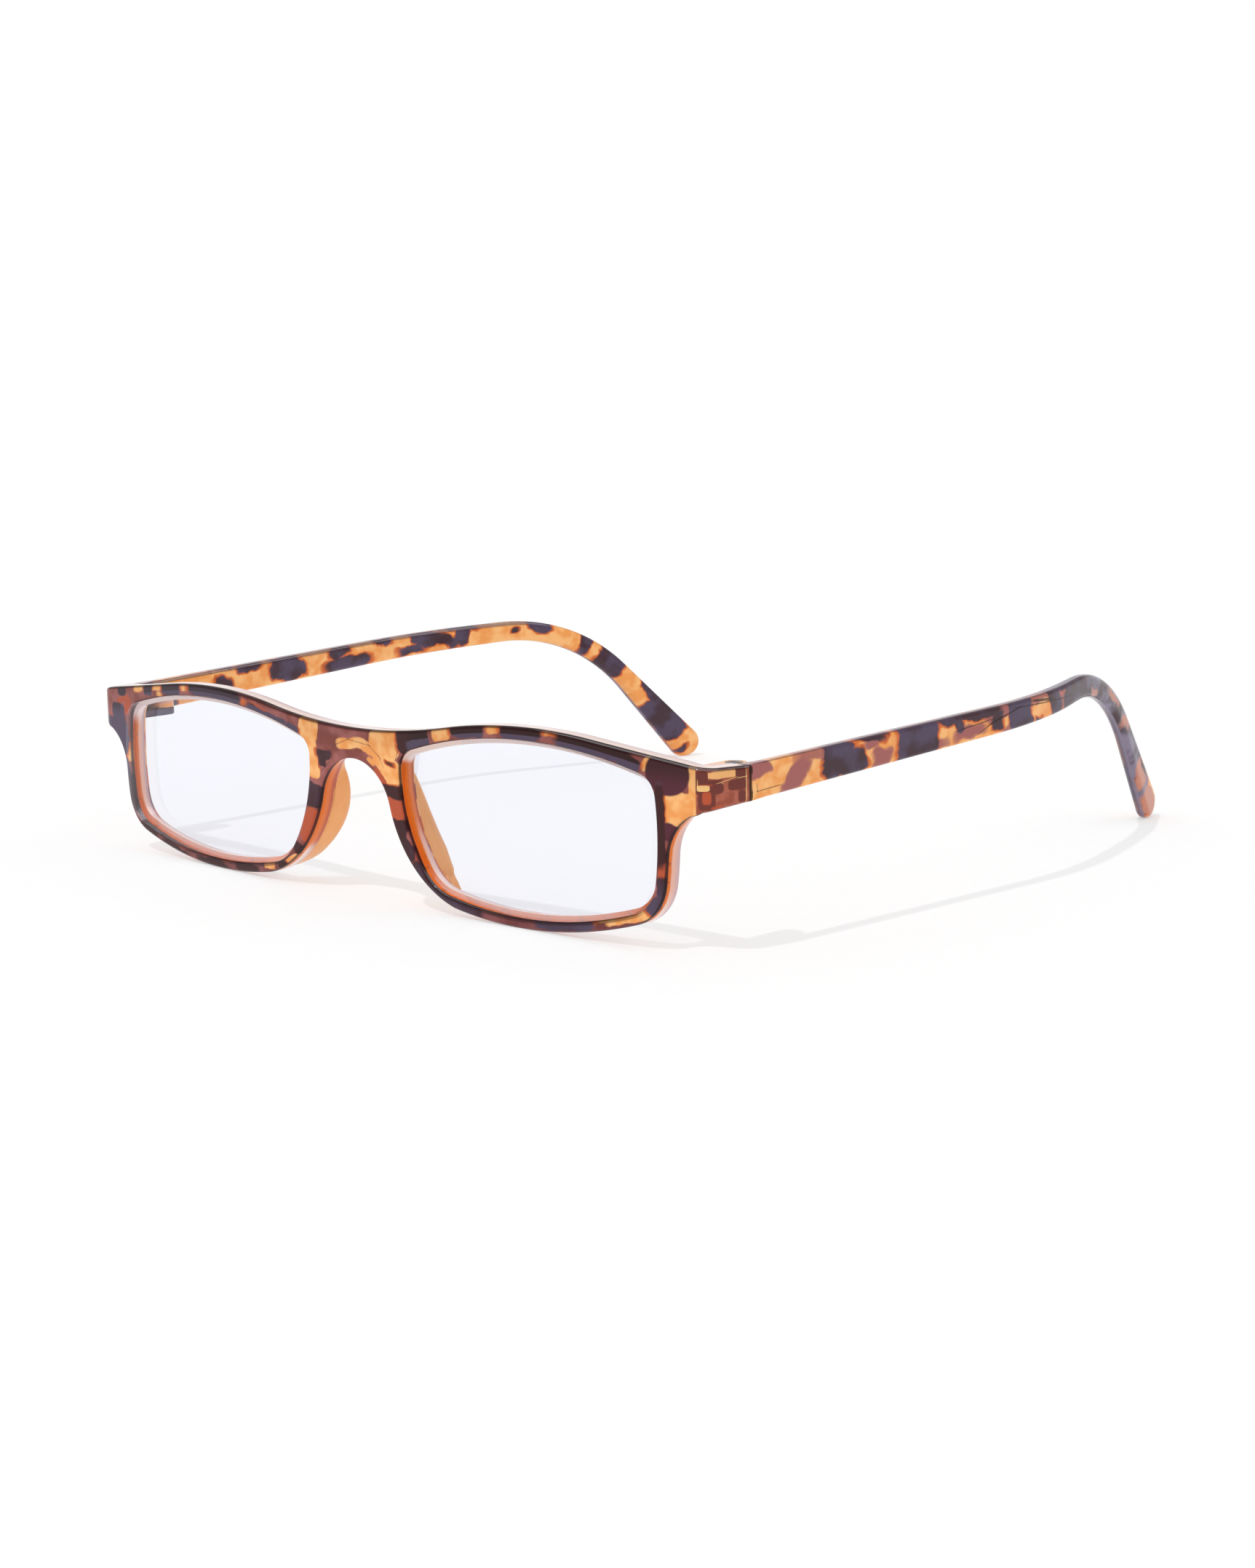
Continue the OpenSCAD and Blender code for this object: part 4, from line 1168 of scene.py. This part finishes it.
class GlassesLook(bpy.types.PropertyGroup):
    """Colours of the plastic, lenses and screws."""

    amber: tone("Amber", "Light tone of the clear amber plastic", 254, 190, 122)
    amber_deep: tone("Deep amber", "Darker tone of the amber plastic", 244, 160, 86)
    amber_shade: tone("Shaded amber", "Amber that borders on a dark patch", 212, 104, 46)
    brown: tone("Brown", "One layer of print over amber", 166, 98, 94)
    brown_deep: tone("Deep brown", "Darker tone of one layer of print", 130, 64, 54)
    red: tone("Red brown", "Thin print over amber", 186, 82, 50)
    plum: tone("Plum", "Dense print over brown", 86, 36, 50)
    dark: tone("Dark", "Two layers of print over each other", 62, 24, 26)
    # On the front the slate is also a painted reflection: on the lower half of the brow and towards
    # the left.
    slate: tone("Slate", "Two layers of print where they look blue", 84, 70, 92)
    dusk: tone("Dusk", "Two layers of print on the temples", 70, 48, 56)
    # Painted highlight: lavender that lightens the dark print over the ear bend and along the rear
    # edges.
    lavender_sheen: tone("Haze", "Print at the bend of the temples", 134, 124, 144)
    # Also painted onto the end faces at the hinge gaps as shade.
    line: tone("Edge line", "Dark line where the print ends at a rounded edge", 36, 8, 8)
    glow: tone("Glow", "Light gathered in the walls of the openings", 228, 116, 44)
    glow_deep: tone("Deep glow", "Darker tone in the walls of the openings", 150, 50, 18)
    glint: tone("Glint", "Light caught by the hinge inside the plastic", 250, 200, 130)
    flank: tone("Flank", "Plastic of the end piece over the hinge", 178, 98, 76)
    flank_deep: tone("Deep flank", "Darker tone over the hinge", 156, 78, 58)
    flank_dark: tone("Dark flank", "Parts of the hinge inside the end piece", 116, 54, 46)
    salmon: tone("Salmon", "Amber that shows at the tips of the temples", 206, 136, 112)
    edge: tone("Clear edge", "Plain plastic seen along the edges", 236, 184, 164)
    # Painted light: lighter copy of the clear edge for the walls under the brow and on the lower
    # sills.
    edge_lit: tone("Pale clear edge", "Edges of the brow and the lower rims", 250, 228, 220)
    edge_deep: tone("Deep clear edge", "Darker tone of the plain edges", 206, 176, 182)
    pad: tone("Pad", "Light tone of the nose pads", 246, 182, 122)
    pad_deep: tone("Deep pad", "Darker tone of the nose pads", 234, 158, 92)
    lens_tint: colour_prop("Lens tint", "What one side of a lens lets through", (0.960, 0.969, 0.996))
    lens_sheen: tone("Lens sheen", "Colour of the lens coating", 250, 250, 255)
    steel: tone("Steel", "Bright screw steel", 168, 168, 172)
    steel_dark: tone("Dark steel", "Marks on the screws", 104, 102, 106)


class GlassesShape(bpy.types.PropertyGroup):
    """Sizes that the mouldings may be changed by without leaving the CAD part."""

    front_edge: length_prop("Front edge", "Rounding of the outer face's edges", 0.55, 0.1, 0.7)
    back_edge: length_prop("Back edge", "Rounding of the rear edges", 0.7, 0.1, 0.72)
    opening_edge: length_prop("Opening edge", "Rounding round the lens openings", 0.3, 0.1, 0.4)
    temple_edge: length_prop("Temple edge", "Rounding of a temple's outer edges", 0.55, 0.2, 0.9)
    temple_inner_edge: length_prop(
        "Temple inner edge", "Rounding of a temple's inner edges", 0.85, 0.2, 1.1
    )


class GlassesStage(bpy.types.PropertyGroup):
    """Floor, light and camera."""

    floor: colour_prop("Floor", "Colour of the floor and the background", (1.0, 1.0, 1.0))
    key: FloatProperty(
        name="Key light", description="Strength of the lamp above the front",
        default=0.7, min=0, max=10,
    )
    room: FloatProperty(
        name="Room light", description="Strength of the light from all around",
        default=0.82, min=0, max=5,
    )


def block(name, x, y0, width, length, z0, height):
    """Cutter box centred on x, reaching back from y0 and up from z0."""
    bm = bmesh.new()
    bmesh.ops.create_cube(bm, size=1.0)
    for v in bm.verts:
        v.co.x = (x + v.co.x * width) * MM
        v.co.y = (y0 + (v.co.y + 0.5) * length - ORIGIN_Y) * MM
        v.co.z = (z0 + (v.co.z + 0.5) * height) * MM
    return new_object(name, bm)


def round_block(name, r, z0, height):
    """Cutter disc round the pin."""
    bm = bmesh.new()
    bmesh.ops.create_cone(bm, cap_ends=True, segments=40, radius1=r, radius2=r, depth=height)
    for v in bm.verts:
        x, y, z = PIN[0] + v.co.x, PIN[1] + v.co.y - ORIGIN_Y, z0 + height / 2 + v.co.z
        v.co = (x * MM, y * MM, z * MM)
    return new_object(name, bm)


def make_front(shape):
    """Front plate with both lens openings and a mortise for each temple tongue."""
    opening = lens_loop()
    wall = grooved(shape.opening_edge / MM)
    loops = [
        (front_loop(), rounded(shape.front_edge / MM, shape.back_edge / MM, DEPTH)),
        (opening[::-1], wall),
        ([(-u, v) for u, v in opening], wall),
    ]
    cuts = [2.0 * i for i in range(-31, 32)]
    cuts += [side * (U_SPLIT + 0.5 * i) for i in range(1, 22) for side, _ in SIDES]
    front = plate(
        "front_moulding", loops, front_place,
        cuts_u=sorted(cuts), cuts_v=[21.9, 23.2], ease=front_ease,
    )
    for side, _ in SIDES:
        mortise = block(
            "mortise", side * (PIN[0] - 0.9), CORNER_Y + DEPTH + 0.6,
            MORTISE_WIDTH, MORTISE_LENGTH, TONGUE_LOW - PLAY, TONGUE + 2 * PLAY,
        )
        combine(front, mortise, "DIFFERENCE")
    return front


def make_knuckle(name, level):
    """Knuckle of the right side with its arm, the upper one with a bore and a screw seat."""
    x, y = PIN
    root = x + 1.4
    loop = [(root, GAP_Y - 3.0), (root, y + 0.4 * KNUCKLE)]
    loop += arc(PIN, KNUCKLE, 25, 181, 18) + [(x - KNUCKLE, y), (x - KNUCKLE, GAP_Y - 3.0)]
    if level == "lower":
        return hinge_leaf(name, loop, KNUCKLE_LOW, TONGUE_LOW - PLAY)
    knuckle = hinge_leaf(name, loop, TONGUE_TOP + PLAY, KNUCKLE_TOP, SHANK + 0.05)
    combine(knuckle, round_block("seat", SEAT, KNUCKLE_TOP - SEAT_DEPTH, 2.0), "DIFFERENCE")
    return knuckle


class GLASSES_OT_front(bpy.types.Operator):
    """Build the front moulding with its end pieces, nose pads and hinge knuckles"""

    bl_idname = "glasses.front"
    bl_label = "Front"

    def execute(self, context):
        shape, look = context.scene.glasses_shape, context.scene.glasses_look
        front = make_front(shape)
        front.data.materials.append(front_material(look))
        sharpen(front)
        pieces = [front]
        pad_plastic = pad_material(look)
        for side, word in SIDES:
            knuckle_plastic = knuckle_material(look, word)
            for level in ("upper", "lower"):
                knuckle = handed(make_knuckle("knuckle_%s_%s" % (level, word), level), side)
                knuckle.data.materials.append(knuckle_plastic)
                sharpen(knuckle)
                pieces.append(knuckle)
            pad = handed(make_pad("nose_pad_" + word), side)
            pad.data.materials.append(pad_plastic)
            sharpen(pad, PAD_SHARP)
            pieces.append(pad)
        for piece in pieces:
            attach(piece, "front")
            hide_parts("front_frame")
        return {"FINISHED"}


class GLASSES_OT_temples(bpy.types.Operator):
    """Build both temples: straight arm, ear bend, paddle tip and hinge tongue"""

    bl_idname = "glasses.temples"
    bl_label = "Temples"

    def execute(self, context):
        shape, look = context.scene.glasses_shape, context.scene.glasses_look
        profile = rounded(shape.temple_edge / MM, shape.temple_inner_edge / MM, 2 * HALF_T)
        cuts = [PLAN_1[1] - 3 + 2.0 * i for i in range(24)]
        right = plate(
            "temple_right_arm", [(temple_loop(), profile)], temple_place,
            cuts_u=cuts, ease=temple_ease,
        )
        r = KNUCKLE - 0.05
        root = FLANK - 2 * HALF_T + 1.2
        loop = [(root, PIN[1] - r), (root, PIN[1] + r)]
        loop += arc(PIN, r, 90, 270, 24) + [(PIN[0], PIN[1] - r)]
        tongue = hinge_leaf("tongue", loop, TONGUE_LOW, TONGUE_TOP, SHANK + 0.04)
        combine(right, tongue, "UNION")
        left = mirrored(right, "temple_left_arm")
        material = temple_material(look)
        for arm, word in ((right, "right"), (left, "left")):
            arm.data.materials.clear()
            arm.data.materials.append(material)
            sharpen(arm)
            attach(arm, "temple_" + word)
            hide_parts("temple_" + word)
        return {"FINISHED"}


def dress(nodes, material):
    """Better material on CAD nodes, whose meshes stay as they are."""
    for node in nodes:
        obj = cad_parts[node]
        if not obj.material_slots:
            obj.data.materials.append(material)
        for slot in obj.material_slots:
            slot.material = material


class GLASSES_OT_lenses(bpy.types.Operator):
    """Give the CAD lenses their clear coated material"""

    bl_idname = "glasses.lenses"
    bl_label = "Lenses"

    def execute(self, context):
        dress(("lens_left", "lens_right"), lens_material(context.scene.glasses_look))
        return {"FINISHED"}


class GLASSES_OT_screws(bpy.types.Operator):
    """Give the CAD hinge screws their turned steel"""

    bl_idname = "glasses.screws"
    bl_label = "Hinge screws"

    def execute(self, context):
        screws = ("hinge_screw_left", "hinge_screw_right")
        dress(screws, steel_material(context.scene.glasses_look))
        return {"FINISHED"}


# Camera found by matching the left and right halves of the photograph.
VIEW_AZIMUTH = 45.0
VIEW_ELEVATION = 9.68
VIEW_ROLL = -1.22
VIEW_TARGET = (56.341, 0.0, 22.763)
VIEW_DISTANCE = 381.1
FOCAL_PIXELS = 3995.0
PHOTO_HEIGHT = 2156.0
SENSOR = 36.0

# Reflected room, from straight down to straight up: (share of the way, brightness).
ROOM_TONES = ((0.0, 0.95), (0.16, 0.95), (0.30, 0.4), (0.74, 0.4), (0.80, 4.5), (1.0, 4.5))
ROOM_BLUE = 1.02


def add_camera(scene):
    """Camera of the photograph, turned by its small roll."""
    az, el = math.radians(VIEW_AZIMUTH), math.radians(VIEW_ELEVATION)
    back = Vector((math.sin(az) * math.cos(el), -math.cos(az) * math.cos(el), math.sin(el)))
    right = Vector((math.cos(az), math.sin(az), 0.0))
    up = back.cross(right)
    roll = math.radians(VIEW_ROLL)
    across = right * math.cos(roll) + up * math.sin(roll)
    upward = up * math.cos(roll) - right * math.sin(roll)
    data = bpy.data.cameras.new("photo_camera")
    data.sensor_width = SENSOR
    data.lens = FOCAL_PIXELS * SENSOR / PHOTO_HEIGHT
    data.clip_start = 0.01
    data.clip_end = 50.0
    cam = bpy.data.objects.new("photo_camera", data)
    target = Vector((VIEW_TARGET[0], VIEW_TARGET[1] - ORIGIN_Y, VIEW_TARGET[2]))
    place = (target + back * VIEW_DISTANCE) * MM
    turn = Matrix((across, upward, back)).transposed()
    cam.matrix_world = Matrix.Translation(place) @ turn.to_4x4()
    scene.collection.objects.link(cam)
    scene.camera = cam


def add_floor(stage):
    """White paper floor: it keeps soft shadows and meets the background without a line."""
    bm = bmesh.new()
    bmesh.ops.create_grid(bm, x_segments=1, y_segments=1, size=6.0)
    floor = new_object("floor", bm)
    p = Paint("white_floor")
    pale = tuple(0.97 * c for c in stage.floor)
    colour = p.mix(p.noise(p.place(), 300.0), stage.floor, pale)
    paper = p.shade(
        "ShaderNodeBsdfPrincipled", Base_Color=colour, Roughness=0.9, Specular_IOR_Level=0.0
    )
    glow = p.shade("ShaderNodeEmission", Color=stage.floor, Strength=1.01)
    floor.data.materials.append(p.finish(p.mix_shader(0.45, paper, glow)))
    return floor


def room_light(stage):
    """White room: even light, and darker walls between horizon and ceiling for reflections."""
    world = bpy.data.worlds.new("white_room")
    world.use_nodes = True
    p = Paint("white_room", world.node_tree)
    height = p.split(p.node("ShaderNodeTexCoord").outputs["Generated"])[2]
    walls = p.node("ShaderNodeValToRGB")
    p.link(height, walls.inputs[0])
    elements = walls.color_ramp.elements
    while len(elements) < len(ROOM_TONES):
        elements.new(0.5)
    for element, (share, bright) in zip(elements, ROOM_TONES):
        element.position = share
        element.color = (bright, bright, bright * ROOM_BLUE, 1)
    path = p.node("ShaderNodeLightPath").outputs
    seen = p.shade("ShaderNodeBackground", Color=stage.floor)
    light = p.shade("ShaderNodeBackground", Color=stage.floor, Strength=stage.room)
    mirror = p.shade("ShaderNodeBackground", Color=walls.outputs["Color"])
    room = p.mix_shader(path["Is Glossy Ray"], light, mirror)
    p.finish(p.mix_shader(path["Is Camera Ray"], room, seen), "ShaderNodeOutputWorld")
    return world


def add_lamp(scene, strength):
    """Lamp high above the front, for short soft shadows."""
    data = bpy.data.lights.new("key_lamp", "SUN")
    data.angle = math.radians(1.8)
    data.energy = strength
    lamp = bpy.data.objects.new("key_lamp", data)
    lamp.location = (0, -0.4, 1.0)
    lamp.rotation_euler = Vector((0.03, 0.40, -1.0)).to_track_quat("-Z", "Y").to_euler()
    scene.collection.objects.link(lamp)


class GLASSES_OT_stage(bpy.types.Operator):
    """Set up the white floor, the soft lights and the camera of the photograph"""

    bl_idname = "glasses.stage"
    bl_label = "Stage"

    def execute(self, context):
        scene = context.scene
        stage = scene.glasses_stage
        floor = add_floor(stage)
        scene.world = room_light(stage)
        add_lamp(scene, stage.key)
        scene.view_settings.view_transform = "Standard"
        add_camera(scene)
        return {"FINISHED"}


class GLASSES_PT_panel(bpy.types.Panel):
    """Sidebar panel with every step and setting"""

    bl_label = "Reading glasses"
    bl_idname = "GLASSES_PT_panel"
    bl_space_type = "VIEW_3D"
    bl_region_type = "UI"
    bl_category = "Glasses"

    def draw(self, context):
        scene = context.scene
        column = self.layout.column()
        for operator in OPERATORS:
            column.operator(operator.bl_idname)
        for group in (scene.glasses_shape, scene.glasses_look, scene.glasses_stage):
            box = self.layout.box()
            for name in group.__annotations__:
                box.prop(group, name)


OPERATORS = (
    GLASSES_OT_front, GLASSES_OT_temples, GLASSES_OT_lenses, GLASSES_OT_screws, GLASSES_OT_stage,
)
CLASSES = (GlassesLook, GlassesShape, GlassesStage) + OPERATORS + (GLASSES_PT_panel,)


def register():
    for cls in CLASSES:
        bpy.utils.register_class(cls)
    bpy.types.Scene.glasses_look = PointerProperty(type=GlassesLook)
    bpy.types.Scene.glasses_shape = PointerProperty(type=GlassesShape)
    bpy.types.Scene.glasses_stage = PointerProperty(type=GlassesStage)


def unregister():
    del bpy.types.Scene.glasses_stage
    del bpy.types.Scene.glasses_shape
    del bpy.types.Scene.glasses_look
    for cls in reversed(CLASSES):
        bpy.utils.unregister_class(cls)


def main():
    register()
    bpy.ops.glasses.front()
    bpy.ops.glasses.temples()
    bpy.ops.glasses.lenses()
    bpy.ops.glasses.screws()
    bpy.ops.glasses.stage()


if __name__ == "__main__":
    main()
